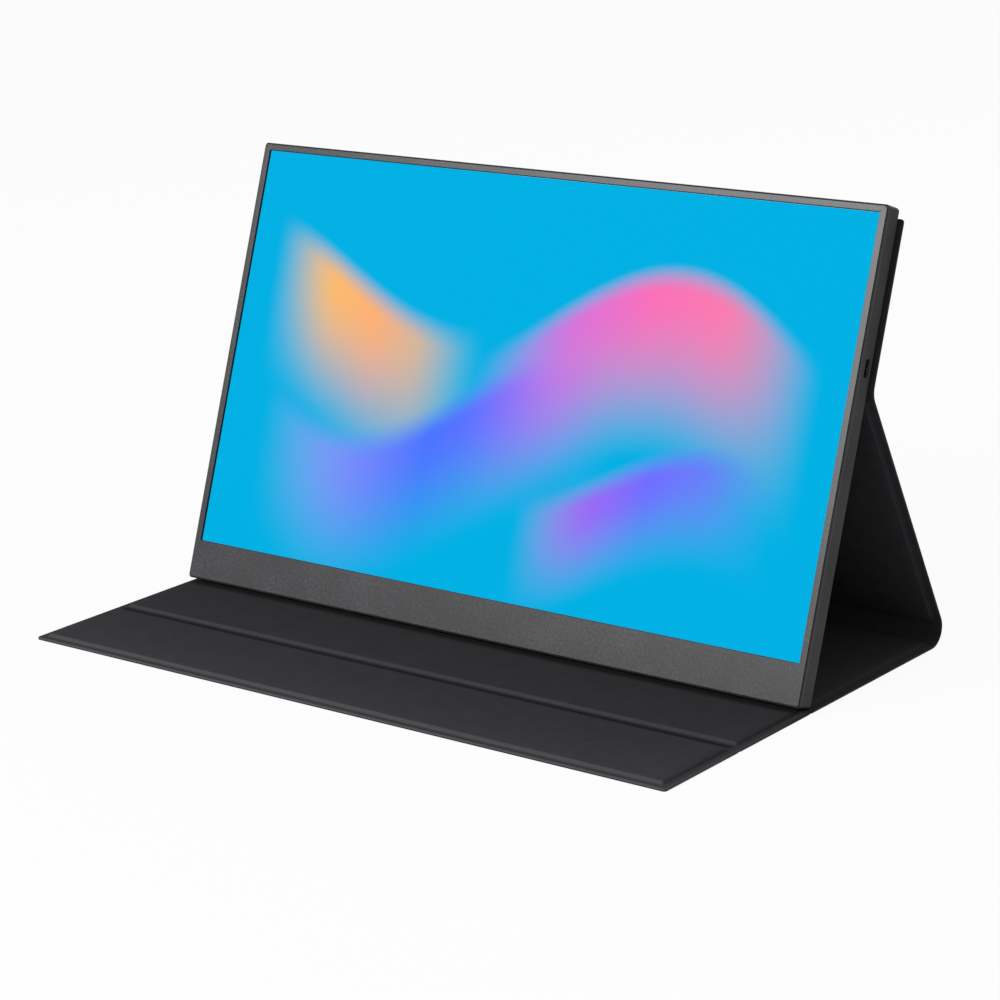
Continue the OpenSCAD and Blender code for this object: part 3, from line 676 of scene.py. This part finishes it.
def slot_of(length, height):
    """A function that gives this slot's outline, grown by so much."""
    return lambda grow: slot_outline(length, height, grow)


def hdmi_outline(grow):
    """Outline of the small D-shaped socket round the origin, as (depth, up) points."""
    half, tall = HDMI_HALF + grow, HDMI_TALL + grow
    waist, narrow = tall * HDMI_WAIST, half - HDMI_CORNER
    left = [(-tall, -half), (waist, -half), (tall, -narrow)]
    return left + [(depth, -up) for depth, up in reversed(left)]


def middle_in_monitor(name):
    """Middle of a CAD node along the monitor's depth and height, in mm."""
    deep, upward = extent(name, INTO), extent(name, UPWARD)
    return sum(deep) / 2 - face_at, sum(upward) / 2 - foot_at


def sideways(stops, outline_at, side, name):
    """Loft through a side: stops are (distance out, growth), the outline is round a node's middle."""
    deep, upward = middle_in_monitor(name)
    return loft([[(side * x, depth + deep, z + upward) for depth, z in outline_at(grow)]
                 for x, grow in stops])


# Openings in the sides: the node in it, the side, the outline, and the gap round the node
openings = [
    ("usb_c_right", 1, slot_of(USB_LONG, USB_HIGH), GAP),
    ("usb_c_left", -1, slot_of(USB_LONG, USB_HIGH), GAP),
    ("power_button", -1, slot_of(POWER_LONG, KEY_HIGH), GAP),
    ("menu_rocker", -1, slot_of(ROCKER_LONG, KEY_HIGH), GAP),
    ("mini_hdmi_socket", -1, hdmi_outline, GAP),
    ("audio_jack", -1, slot_of(JACK_HOLE, JACK_HOLE), 0),
]
cutters = []
for name, side, outline_at, gap in openings:
    stops = [(half_wide + 1, gap + MOUTH), (half_wide, gap + MOUTH), (half_wide - MOUTH, gap),
             (half_wide - CUT_DEEP, gap)]
    cutters.append(sideways(stops, outline_at, side, name))

hole_stops = [(thick + 1, HOLE_RADIUS + MOUTH), (thick, HOLE_RADIUS + MOUTH),
              (thick - MOUTH, HOLE_RADIUS), (thick - WALL - 1, HOLE_RADIUS)]
turns = [math.tau * i / HOLE_CORNERS for i in range(HOLE_CORNERS)]
for name in ("speaker_left", "speaker_right"):
    x_middle, z_middle = sum(extent(name, ACROSS)) / 2, middle_in_monitor(name)[1]
    for row in range(-2, 3):
        for step in range(-3, 4):
            x, z = x_middle + step * HOLE_STEP[0], z_middle + row * HOLE_STEP[1]
            cutters.append(loft([[(x + radius * math.cos(turn), depth, z + radius * math.sin(turn))
                                  for turn in turns] for depth, radius in hole_stops]))
cutter = make_piece("openings", *join_lofts(*cutters), Matrix.Identity(4), finishes["housing"])
carve(housing, cutter)
settle(housing, in_monitor, finishes["housing"])
even_shading(housing)
hand_over(housing, "monitor", "housing", "rear_housing")
print("openings cut:", len(cutters))

# %% [markdown]
# ## Front bezel
# The bezel is a thin frame glued inside the housing's lip, with a wide strip under the picture. Its
# edges are soft where fingers meet them. A loft of outlines, from the outer rear edge over the front
# face to the window's rear edge, closes on itself to a frame. The window's wall is near black: it
# stands for the dark tape behind the bezel and paints the shade in the narrow gap beside the picture.

# %% Make the bezel
SEAM = 0.12
BEZEL_SOFT = 0.15
BEZEL_SHOULDER = 0.3 * BEZEL_SOFT
BEZEL_CORNER = 1.0
WINDOW_GAP = 0.2
WINDOW_CORNER = 0.25


def picture_ring(grow, radius, depth, steps):
    """An outline round the picture, grown all round."""
    return rounded_ring((-picture_half - grow, picture_half + grow),
                        (picture_high[0] - grow, picture_high[1] + grow), radius, depth, steps)


def window_ring(grow, depth):
    return picture_ring(grow, WINDOW_CORNER + 0.3 * grow, depth, 8)


bezel_rings = [
    monitor_ring(LIP + SEAM, bezel_thick, BEZEL_CORNER),
    monitor_ring(LIP + SEAM, BEZEL_SOFT, BEZEL_CORNER),
    monitor_ring(LIP + SEAM + BEZEL_SHOULDER, BEZEL_SHOULDER, BEZEL_CORNER - 0.05),
    monitor_ring(LIP + SEAM + BEZEL_SOFT, 0, BEZEL_CORNER - 0.1),
    window_ring(WINDOW_GAP + BEZEL_SOFT, 0),
    window_ring(WINDOW_GAP + BEZEL_SHOULDER, BEZEL_SHOULDER),
    window_ring(WINDOW_GAP, BEZEL_SOFT),
    window_ring(WINDOW_GAP, bezel_thick),
]
# The strips of faces that start at these rings are the window's wall
WALL_STRIPS = (5, 6)
bezel = make_piece("front_bezel_frame", *loft(bezel_rings, closed=True), in_monitor,
                   finishes["bezel"], smooth_deg=50)
# near-black wall: painted shade of the narrow gap beside the picture, and the dark tape behind it
bezel.data.materials.append(black_finish("blackened_wall", 0.3, 0.01, 0.7, level=4, made_here=True))
for face in bezel.data.polygons:
    face.material_index = int(face.index // len(bezel_rings[0]) in WALL_STRIPS)
even_shading(bezel)
hand_over(bezel, "monitor", "bezel", "front_bezel")
print("bezel window", round(2 * (picture_half + WINDOW_GAP), 1), "mm wide")

# %% [markdown]
# ## The screen's face
# The picture shows on the front polariser, a film on the glass. It lies just behind the bezel, and
# the black tape shows round it as a hairline. A thin plate with softened edges is enough.

# %% Make the screen's face
FILM_SOFT = 0.03
FILM_CORNER = 0.2
film_profile = [(0, picture_deep[1]), (0, picture_deep[0] + FILM_SOFT), (-FILM_SOFT, picture_deep[0])]
screen_rings = [picture_ring(grow, FILM_CORNER, depth, 6) for grow, depth in film_profile]
screen = make_piece("screen_face", *loft(screen_rings), in_monitor, finishes["picture"])
hand_over(screen, "monitor", "picture", "screen_polariser")
print("screen face ready")

# %% [markdown]
# ## Sockets
# A socket is a thin drawn shell with a tongue inside that carries the contacts. The shell is a loft
# that goes in through its own mouth: outside, lip, inside, and a closed rear. The tongue is a slim
# plate, lofted with round edges.

# %% Make the sockets
TONGUE_HIGH = 0.7
shell_finish = plated_finish("dark_plated_shell", 92, 118, made_here=True)
tongue_finish = black_finish("black_tongue", 0.3, 0.02, 0.45, made_here=True)


def socket(name, node, outline_at, wall, tongue_half, side):
    """A drawn shell and its tongue, opening through a side of the monitor."""
    rear, mouth = sorted(abs(value) for value in extent(node, ACROSS))
    stops = [(rear, 0), (mouth - 0.12, 0), (mouth, -0.08), (mouth, -wall + 0.06), (mouth - 0.2, -wall),
             (rear + 1, -wall)]
    shell = make_piece(name + "_shell", *sideways(stops, outline_at, side, node), in_monitor,
                       shell_finish, smooth_deg=40)
    hand_over(shell, "monitor", "sockets", node)
    stops = [(rear + 1, 0), (mouth - 1.0, 0), (mouth - 0.75, -0.2)]
    plate = sideways(stops, slot_of(2 * tongue_half, TONGUE_HIGH), side, node)
    tongue = make_piece(name + "_tongue", *plate, in_monitor, tongue_finish, smooth_deg=40)
    hand_over(tongue, "monitor", "sockets")


for name, side in (("usb_c_right", 1), ("usb_c_left", -1)):
    socket(name, name, slot_of(USB_LONG, USB_HIGH), 0.3, 3.3, side)
socket("mini_hdmi", "mini_hdmi_socket", hdmi_outline, 0.35, 4.2, -1)
print("three sockets with tongues")

# %% [markdown]
# ## Keys
# The power button and the menu rocker are caps of the housing's plastic that stand half a
# millimetre proud. Each has a flange behind the wall that keeps it in. The loft runs from the
# flange's rear, through the wall, to a softened face, and the rocker's face dips in the middle so
# that a finger finds both of its ends.

# %% Make the keys
KEY_FLANGE = 0.6
DIP_HALF = 2.2


def key(name, node, length, dip):
    """A key cap with its flange: dip hollows the face across its middle, in mm."""
    deep, upward = middle_in_monitor(node)
    outer, inner = sorted(extent(node, ACROSS))
    wall_inside = -half_wide + WALL
    flange_rear = min(inner, wall_inside + KEY_FLANGE)
    stops = [(flange_rear, KEY_FLANGE), (wall_inside, KEY_FLANGE), (wall_inside, 0), (outer + 0.25, 0),
             (outer + 0.07, -0.07), (outer, -0.25), (outer, -0.6), (outer, -1.0)]
    rings = []
    for x, grow in stops:
        ring = []
        for depth, z in slot_outline(length, KEY_HIGH, grow, 12):
            hollow = dip * math.exp(-(z / DIP_HALF) ** 2) if x < -half_wide else 0
            ring.append((x + hollow, depth + deep, z + upward))
        rings.append(ring)
    cap = make_piece(name, *loft(rings), in_monitor, finishes["housing"], smooth_deg=40)
    hand_over(cap, node, "housing", node)


key("power_key", "power_button", POWER_LONG, 0)
key("rocker_key", "menu_rocker", ROCKER_LONG, 0.2)
print("two keys")

# %% [markdown]
# ## The line of the cover
# Seen from the side, the whole cover is one line: flap, base, round spine, prop and the panel behind
# the monitor. Its corners are the axes of the folds. Two folds are creases in a flat sheet. The
# spine and the upper fold bend softly, so their corners are replaced by arcs. Once the line is
# known as a function of the distance along it, every sheet of the cover can be laid on it.

# %% Work out the line of the cover
TOP_BEND = 4.0


def side_point(name):
    """A fold's axis as (y, z) in mm."""
    place = joints[name]["pos_m"]
    return Vector((place[1] / MM, place[2] / MM))


folds = [side_point(name) for name in
         ("front_groove_fold", "mid_groove_fold", "spine_bottom_fold", "spine_top_fold", "back_fold")]
front_end = Vector((extent("front_skin", Vector((0, 1, 0)))[0], folds[0].y))
panel_up = Vector((UPWARD.y, UPWARD.z))
top_reach = extent("back_skin", UPWARD)[1] - folds[4].dot(panel_up)
top_end = folds[4] + top_reach * panel_up
half_spine = (folds[3] - folds[2]).length / 2
corners = [front_end, *folds, top_end]
setbacks = [0, 0, 0, half_spine, half_spine, TOP_BEND, 0]

stretches = []
stations = [0.0]
along = 0.0
for i in range(len(corners) - 1):
    step = corners[i + 1] - corners[i]
    angle = math.atan2(step.y, step.x)
    heading = step.normalized()
    straight = step.length - setbacks[i] - setbacks[i + 1]
    if straight > 1e-6:
        stretches.append((along, straight, corners[i] + setbacks[i] * heading, angle, 0.0))
        along += straight
    if i + 2 < len(corners):
        stations.append(along)
    if setbacks[i + 1] > 0:
        onward = corners[i + 2] - corners[i + 1]
        turn = math.atan2(onward.y, onward.x) - angle
        arc = setbacks[i + 1] / math.tan(abs(turn) / 2) * abs(turn)
        stretches.append((along, arc, corners[i + 1] - setbacks[i + 1] * heading, angle, turn / arc))
        along += arc
cover_length = along
FRONT_GROOVE, MID_GROOVE, SPINE_START, SPINE_MIDDLE, TOP_BEND_START = stations[1:6]
SPINE_END = 2 * SPINE_MIDDLE - SPINE_START
TOP_BEND_END = next(start for start, _, _, _, bend in stretches if bend == 0 and start > TOP_BEND_START)


def on_line(s, out=0.0):
    """Point (y, z) on the cover's line at s mm from its front edge, out mm towards the lining."""
    start, length, origin, angle, bend = [entry for entry in stretches if entry[0] <= s + 1e-9][-1]
    t = s - start
    if bend == 0:
        point = origin + t * Vector((math.cos(angle), math.sin(angle)))
    else:
        turned_to = angle + bend * t
        point = origin + Vector((math.sin(turned_to) - math.sin(angle),
                                 math.cos(angle) - math.cos(turned_to))) / bend
        angle = turned_to
    return point + out * Vector((-math.sin(angle), math.cos(angle)))


print(f"the cover is {cover_length:.1f} mm long, its spine from {SPINE_START:.1f} to {SPINE_END:.1f}")

# %% [markdown]
# ## How thick the cover is at each place
# Skin and lining are glued together at the rim and in the folds. Elsewhere the lining rides over a
# stiffening board and rises to a flat field with soft sides. So one function gives the rise at any
# point, from the distances to the ends of each board, and others round the cut edges and press the
# creases. Round the groove in which the monitor stands the lining sags a little.

# %% Functions for the rise and the edges
SKIN = 0.6
LINING = 0.7
THINNEST = 0.12
HALF_SHEET = (SKIN + LINING) / 2
GLUE = SKIN - HALF_SHEET
RIM = 2.8
SIDE_SLOPE = 2.0
END_SLOPE = 3.0
HALF_FOLD = 2.0
CUT_ROUND = 0.35
CORNER = 1.5
# A pressed crease: its depth, its half width and its shift towards the monitor
LINING_CREASE = (0.4, 1.1, 0.7)
SKIN_CREASE = (0.2, 0.9, 0)
# The sag at the groove: where it sets in and is full, both in mm before the groove, where it ends
# behind it, and a factor for its depth
SHOULDER, SHOULDER_FULL, SHOULDER_BEHIND, SAG = 12.5, 4.5, 4, 1.2
half_cover = extent("base_skin", ACROSS)[1]
board_low, board_high = extent("base_board", Vector((0, 0, 1)))
board_thick = board_high - board_low
back_board_thick = extent("back_board", INTO)[1] - extent("back_board", INTO)[0]
at_rim = (RIM, RIM + SIDE_SLOPE)
at_fold = (HALF_FOLD, HALF_FOLD + END_SLOPE)
# Fields of the lining: both ends, each with the start and the end of its slope, and the height
spans = [
    (0, at_rim, FRONT_GROOVE, at_fold, board_thick),
    (FRONT_GROOVE, at_fold, MID_GROOVE, at_fold, board_thick),
    (MID_GROOVE, at_fold, SPINE_START + half_spine, at_fold, board_thick),
    (SPINE_END - half_spine, at_fold, TOP_BEND_START + TOP_BEND, at_fold, board_thick),
    (TOP_BEND_END - TOP_BEND, at_fold, cover_length, at_rim, back_board_thick),
]
fields = [(low + rises[0], low + rises[1], high - falls[1], high - falls[0], height)
          for low, rises, high, falls, height in spans]


def smooth(value, low, high):
    share = min(max((value - low) / (high - low), 0), 1)
    return share * share * (3 - 2 * share)


def rise(x, s):
    """How far the lining stands over the glued sheet."""
    side = smooth(half_cover - abs(x), *at_rim)
    ends = [height * smooth(s, a, b) * (1 - smooth(s, c, d)) for a, b, c, d, height in fields]
    return side * max(ends)


def edge_distance(x, s):
    """Distance from the cover's outline, whose four corners are round."""
    dx, ds = half_cover - abs(x), min(s, cover_length - s)
    if dx < CORNER and ds < CORNER:
        return CORNER - math.hypot(CORNER - dx, CORNER - ds)
    return min(dx, ds)


def cut_drop(x, s):
    """How far a rounded cut edge falls away from its sheet's face."""
    left = min(max(CUT_ROUND - edge_distance(x, s), 0), CUT_ROUND)
    return CUT_ROUND - math.sqrt(CUT_ROUND ** 2 - left ** 2)


def crease(s, depth, half_width, shift):
    """Valley that a pressed sheet keeps at the two flat folds."""
    return depth * sum(math.exp(-((s - fold - shift) / half_width) ** 2)
                       for fold in (FRONT_GROOVE, MID_GROOVE))


def shoulder(s):
    """How near a place is to the groove in which the monitor stands, from 0 to 1."""
    before = smooth(s, MID_GROOVE - SHOULDER, MID_GROOVE - SHOULDER_FULL)
    return before * (1 - smooth(s, MID_GROOVE, MID_GROOVE + SHOULDER_BEHIND))


def lining_faces(x, s):
    """Offsets of the lining's lower and upper face from the cover's line."""
    inland = smooth(half_cover - abs(x), RIM - 1, RIM + 4)
    pressed = (crease(s, *LINING_CREASE) + SAG * shoulder(s) * (1 - shoulder(s))) * inland
    lower = GLUE + rise(x, s)
    return lower, max(HALF_SHEET + rise(x, s) - cut_drop(x, s) - pressed, lower + THINNEST)


def skin_faces(x, s):
    """Offsets of the skin's outer and inner face from the cover's line."""
    return -HALF_SHEET + cut_drop(x, s) + crease(s, *SKIN_CREASE), GLUE


print("cover is", 2 * half_cover, "mm wide, board", round(board_thick, 2), "mm")

# %% [markdown]
# ## Painted light and shade on the lining
# Painted highlights make the cloth paler on the slopes over the boards and on the cut edges, but only
# on the flap. The flap is also painted a little paler at its front end and darker towards the monitor.
# Painted shade darkens the folds and the place by the monitor's foot.

# %% Function for the painted light and shade
SLOPE_HIGHLIGHT = 0.37
EDGE_HIGHLIGHT = 0.5
FRONT_LIGHT, GROOVE_SHADE = 0.12, -0.35
# Painted shade: in the folds, like a crease, its depth, half width and shift, then the share of the
# painted shadow by the monitor's foot, and the most that both together may darken
FOLD_SHADE = (0.9, 1.7, 0.4)
SHOULDER_SHADOW = 0.85
DEEPEST_SHADE = 0.9


def painted_lining_light(x, s):
    """Painted light and shade on the lining: up to 1 for painted highlights, down to -1 for painted shade."""
    step = 0.05
    steep = abs(rise(x, s + step) - rise(x, s - step)) / (2 * step)
    inland = smooth(half_cover - abs(x), RIM - 1, RIM + 3)
    outside = 1 - smooth(s, MID_GROOVE - 2 * SHOULDER, MID_GROOVE - SHOULDER)
    # painted light at the flap's front end that turns to painted shade towards the monitor
    lengthwise_shade = FRONT_LIGHT + (GROOVE_SHADE - FRONT_LIGHT) * min(s / MID_GROOVE, 1) ** 1.2
    lengthwise_shade -= GROOVE_SHADE * smooth(s, MID_GROOVE, MID_GROOVE + 8)
    # painted highlights on the slopes and the cut edges of the flap
    painted_slope_light = SLOPE_HIGHLIGHT * smooth(steep, 0.1, 0.6) * outside
    edge = EDGE_HIGHLIGHT * (1 - smooth(edge_distance(x, s), 0.2, 1.0)) * outside
    # painted shade in the folds and painted shadow by the monitor's foot
    shade_in_folds = inland * min(crease(s, *FOLD_SHADE) + SHOULDER_SHADOW * shoulder(s), DEEPEST_SHADE)
    return max(painted_slope_light, edge) + lengthwise_shade - shade_in_folds


# prints the painted light and shade along the middle of the flap
print("wear from front to groove:", [round(painted_lining_light(0, MID_GROOVE * i / 4), 2) for i in range(5)])

# %% [markdown]
# ## Lay the sheets
# A sheet is a grid of points across and along the cover, once for its lower and once for its upper
# face, closed at its rim. Rows and columns crowd where the shape turns: at cut edges, slopes and
# bends. Near a free end the outer columns draw in along the round corner, so no face is cut.

# %% Functions that lay a sheet
EDGE_STEPS = [0, 0.03, 0.1, 0.2, 0.35, 0.7, 1.2, 2.0]
SLOPE_STEPS = 6
BEND_STEPS = 12
CREASE_STEP = 0.4
LONGEST = 9
DRAWN_IN = 9.0
LAST_COLUMN = 14


def even(low, high, count):
    """Places from low to high in so many even steps."""
    return [low + (high - low) * i / count for i in range(count + 1)]


def fill(places):
    """The places in order, with even steps between those that are far apart."""
    places = sorted(set(round(place, 6) for place in places))
    full = [places[0]]
    for here, there in zip(places, places[1:]):
        full += even(here, there, math.ceil((there - here) / LONGEST - 1e-9))[1:]
    return full


def column_places():
    near = EDGE_STEPS + even(*at_rim, SLOPE_STEPS) + [DRAWN_IN, LAST_COLUMN]
    left = [-half_cover + step for step in near]
    return fill(left + [-x for x in left])


def row_places(low, high):
    marks = [low, high] + EDGE_STEPS + [cover_length - step for step in EDGE_STEPS]
    for a, b, c, d, _ in fields:
        marks += even(a, b, SLOPE_STEPS) + even(c, d, SLOPE_STEPS)
    marks += [MID_GROOVE - SHOULDER + i for i in range(int(SHOULDER))]
    for start, length, _, _, bend in stretches:
        if bend:
            marks += even(start, start + length, BEND_STEPS)
    for fold in (FRONT_GROOVE, MID_GROOVE):
        marks += [fold + CREASE_STEP * i for i in range(-7, 12)]
    return fill([mark for mark in marks if low <= mark <= high])


def drawn_in(x, s):
    """Moves the outer columns in along the round corners of the free ends."""
    ds = min(s, cover_length - s)
    inner = half_cover - DRAWN_IN
    if ds >= CORNER or abs(x) <= inner:
        return x
    half = half_cover - CORNER + math.sqrt(CORNER ** 2 - (CORNER - ds) ** 2)
    return math.copysign(inner + (abs(x) - inner) * (half - inner) / DRAWN_IN, x)


def lay_sheet(name, low, high, faces_at, slot, replaced):
    """A closed sheet from low to high along the cover, and each point's (x, s, offset)."""
    columns, rows = column_places(), row_places(low, high)
    wide, long = len(columns), len(rows)
    points, places = [], []
    for side in (0, 1):
        for s in rows:
            for column in columns:
                x = drawn_in(column, s)
                offset = faces_at(x, s)[side]
                points.append((x, *on_line(s, offset)))
                places.append((x, s, offset))
    faces = []
    top = wide * long
    for i in range(long - 1):
        for j in range(wide - 1):
            a, b, c, d = i * wide + j, i * wide + j + 1, (i + 1) * wide + j + 1, (i + 1) * wide + j
            faces += [(a, d, c, b), (top + a, top + b, top + c, top + d)]
    border = list(range(wide))
    border += [i * wide + wide - 1 for i in range(1, long)]
    border += [(long - 1) * wide + j for j in range(wide - 2, -1, -1)]
    border += [i * wide for i in range(long - 2, 0, -1)]
    for here, there in zip(border, border[1:] + border[:1]):
        faces.append((here, there, top + there, top + here))
    sheet = make_piece(name, points, faces, Matrix.Scale(MM, 4), finishes[slot], smooth_deg=40)
    sheet.data.attributes[PLACE].data.foreach_set("vector", np.array(places, np.float32).ravel())
    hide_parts(*replaced)
    return sheet, places


def lay_pair(name, low, high, lining_nodes, skin_nodes):
    """The lining and the skin of one stretch of the cover."""
    inside, places = lay_sheet(name + "_inside", low, high, lining_faces, "cover_lining", lining_nodes)
    # the lining's painted light and shade, stored on each point
    painted_light_and_shade = np.array([painted_lining_light(x, s) for x, s, _ in places], np.float32)
    inside.data.attributes.new(LIGHT_SHADE_ATTRIBUTE, "FLOAT", "POINT").data.foreach_set("value", painted_light_and_shade)
    outside, _ = lay_sheet(name + "_outside", low, high, skin_faces, "cover_skin", skin_nodes)
    return inside, outside


print("columns", len(column_places()))

# %% [markdown]
# ## Panels of the cover
# Five stretches of the cover are stiff, because a board lies in them. Each rides on its own body.

# %% Lay the five stiff panels
panels = [
    ("front", "front_strip", 0, FRONT_GROOVE - HALF_FOLD),
    ("mid", "mid_strip", FRONT_GROOVE + HALF_FOLD, MID_GROOVE - HALF_FOLD),
    ("base", "base", MID_GROOVE + HALF_FOLD, SPINE_START),
    ("prop", "prop", SPINE_END, TOP_BEND_START),
    ("back", "back_panel", TOP_BEND_END, cover_length),
]
for name, body, low, high_end in panels:
    for sheet in lay_pair(name, low, high_end, [name + "_lining"], [name + "_skin"]):
        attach(sheet, body)
print("five panels of two sheets each")

# %% [markdown]
# ## Folds of the cover
# Between the panels the same two sheets go on without a board. Each fold is a piece of its own that
# runs from the panel on one side to the panel on the other, and its mesh is fixed in place in the
# model. The round spine is two such pieces that meet in its middle.

# %% Lay the folds
bends = [
    ("front_groove", "front_strip", "mid_strip", FRONT_GROOVE - HALF_FOLD, FRONT_GROOVE + HALF_FOLD,
     ["front_groove_strip"], ["front_groove_strip"]),
    ("mid_groove", "mid_strip", "base", MID_GROOVE - HALF_FOLD, MID_GROOVE + HALF_FOLD,
     ["mid_groove_strip"], ["mid_groove_strip"]),
    ("spine_low", "base", "spine", SPINE_START, SPINE_MIDDLE,
     ["spine_lining"], ["spine_bottom_strip", "spine_skin"]),
    ("spine_high", "spine", "prop", SPINE_MIDDLE, SPINE_END,
     ["spine_lining"], ["spine_top_strip", "spine_skin"]),
    ("top_fold", "prop", "back_panel", TOP_BEND_START, TOP_BEND_END,
     ["back_fold_strip"], ["back_fold_strip"]),
]
for name, body, next_body, low, high_end, lining_nodes, skin_nodes in bends:
    for sheet in lay_pair(name, low, high_end, lining_nodes, skin_nodes):
        start, end = on_line(low) * MM, on_line(high_end) * MM
        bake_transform(sheet)

# %% [markdown]
# ## Light
# A large soft box in front and to the left lights the screen's frame, a weak one on the right fills
# the side, and one behind lights the cover's back. The world gives the rest. Together they light a
# surface at about the level at which its colour is written. The camera and shiny surfaces see a
# plain white world.

# %% Set up the light
WORLD_LEVEL = 0.36


def soft_box(name, place, aim, size, watts):
    data = bpy.data.lights.new(name, "AREA")
    data.shape = "RECTANGLE"
    data.size, data.size_y = size
    data.energy = watts
    lamp = add_object(name, data)
    lamp.location = place
    lamp.rotation_euler = (Vector(aim) - Vector(place)).to_track_quat("-Z", "Y").to_euler()


# Name, place and aim in metres, size, and power in watts
soft_box("key_box", (-0.6, -1.5, 1.0), (0, 0, 0.08), (1.3, 0.7), 24)
soft_box("side_box", (1.7, -0.2, 0.9), (0, 0, 0.1), (0.8, 1.0), 1.4)
soft_box("rear_box", (0.3, 1.5, 1.2), (0, 0, 0.1), (1.2, 0.8), 6)

world = bpy.data.worlds.new("studio")
world.use_nodes = True
bpy.context.scene.world = world
sky = world.node_tree
seen = seen_by(sky, "Camera", "Glossy", "Transmission")
background = sky.nodes["Background"]
background.inputs["Color"].default_value = (1, 1, 1, 1)
sky.links.new(span(seen, 0, 1, WORLD_LEVEL, 1.0), background.inputs["Strength"])
print("three soft boxes and a white world")

# %% [markdown]
# ## Floor
# The floor is a plain pale sheet that goes over into the white behind it. A mix of paper and plain
# white for the camera keeps a faint shadow and loses the horizon.

# %% Lay the floor
FLOOR_HALF = 6.0
FLOOR_DROP = 0.0002
FLOOR_GREY = 0.9
SHADOW_KEPT = 0.06
corners = [(x * FLOOR_HALF, y * FLOOR_HALF, 0) for x, y in ((-1, -1), (1, -1), (1, 1), (-1, 1))]
floor_mesh = bpy.data.meshes.new("floor")
floor_mesh.from_pydata(corners, [], [(0, 1, 2, 3)])
floor = add_object("floor", floor_mesh)
floor.location.z = -FLOOR_DROP
paper = bpy.data.materials.new("floor_paper")
paper.use_nodes = True
tree = paper.node_tree
tree.nodes.clear()
share = reckon("MULTIPLY", seen_by(tree, "Camera", "Glossy"), 1 - SHADOW_KEPT)
matte = add(tree, "BsdfDiffuse", {"Color": (FLOOR_GREY, FLOOR_GREY, FLOOR_GREY, 1)})
white = add(tree, "Emission", {"Color": (1, 1, 1, 1), "Strength": 1.0})
both = add(tree, "MixShader", {0: share, 1: matte.outputs[0], 2: white.outputs[0]})
add(tree, "OutputMaterial", {"Surface": both.outputs[0]})
floor_mesh.materials.append(paper)
print("floor laid")
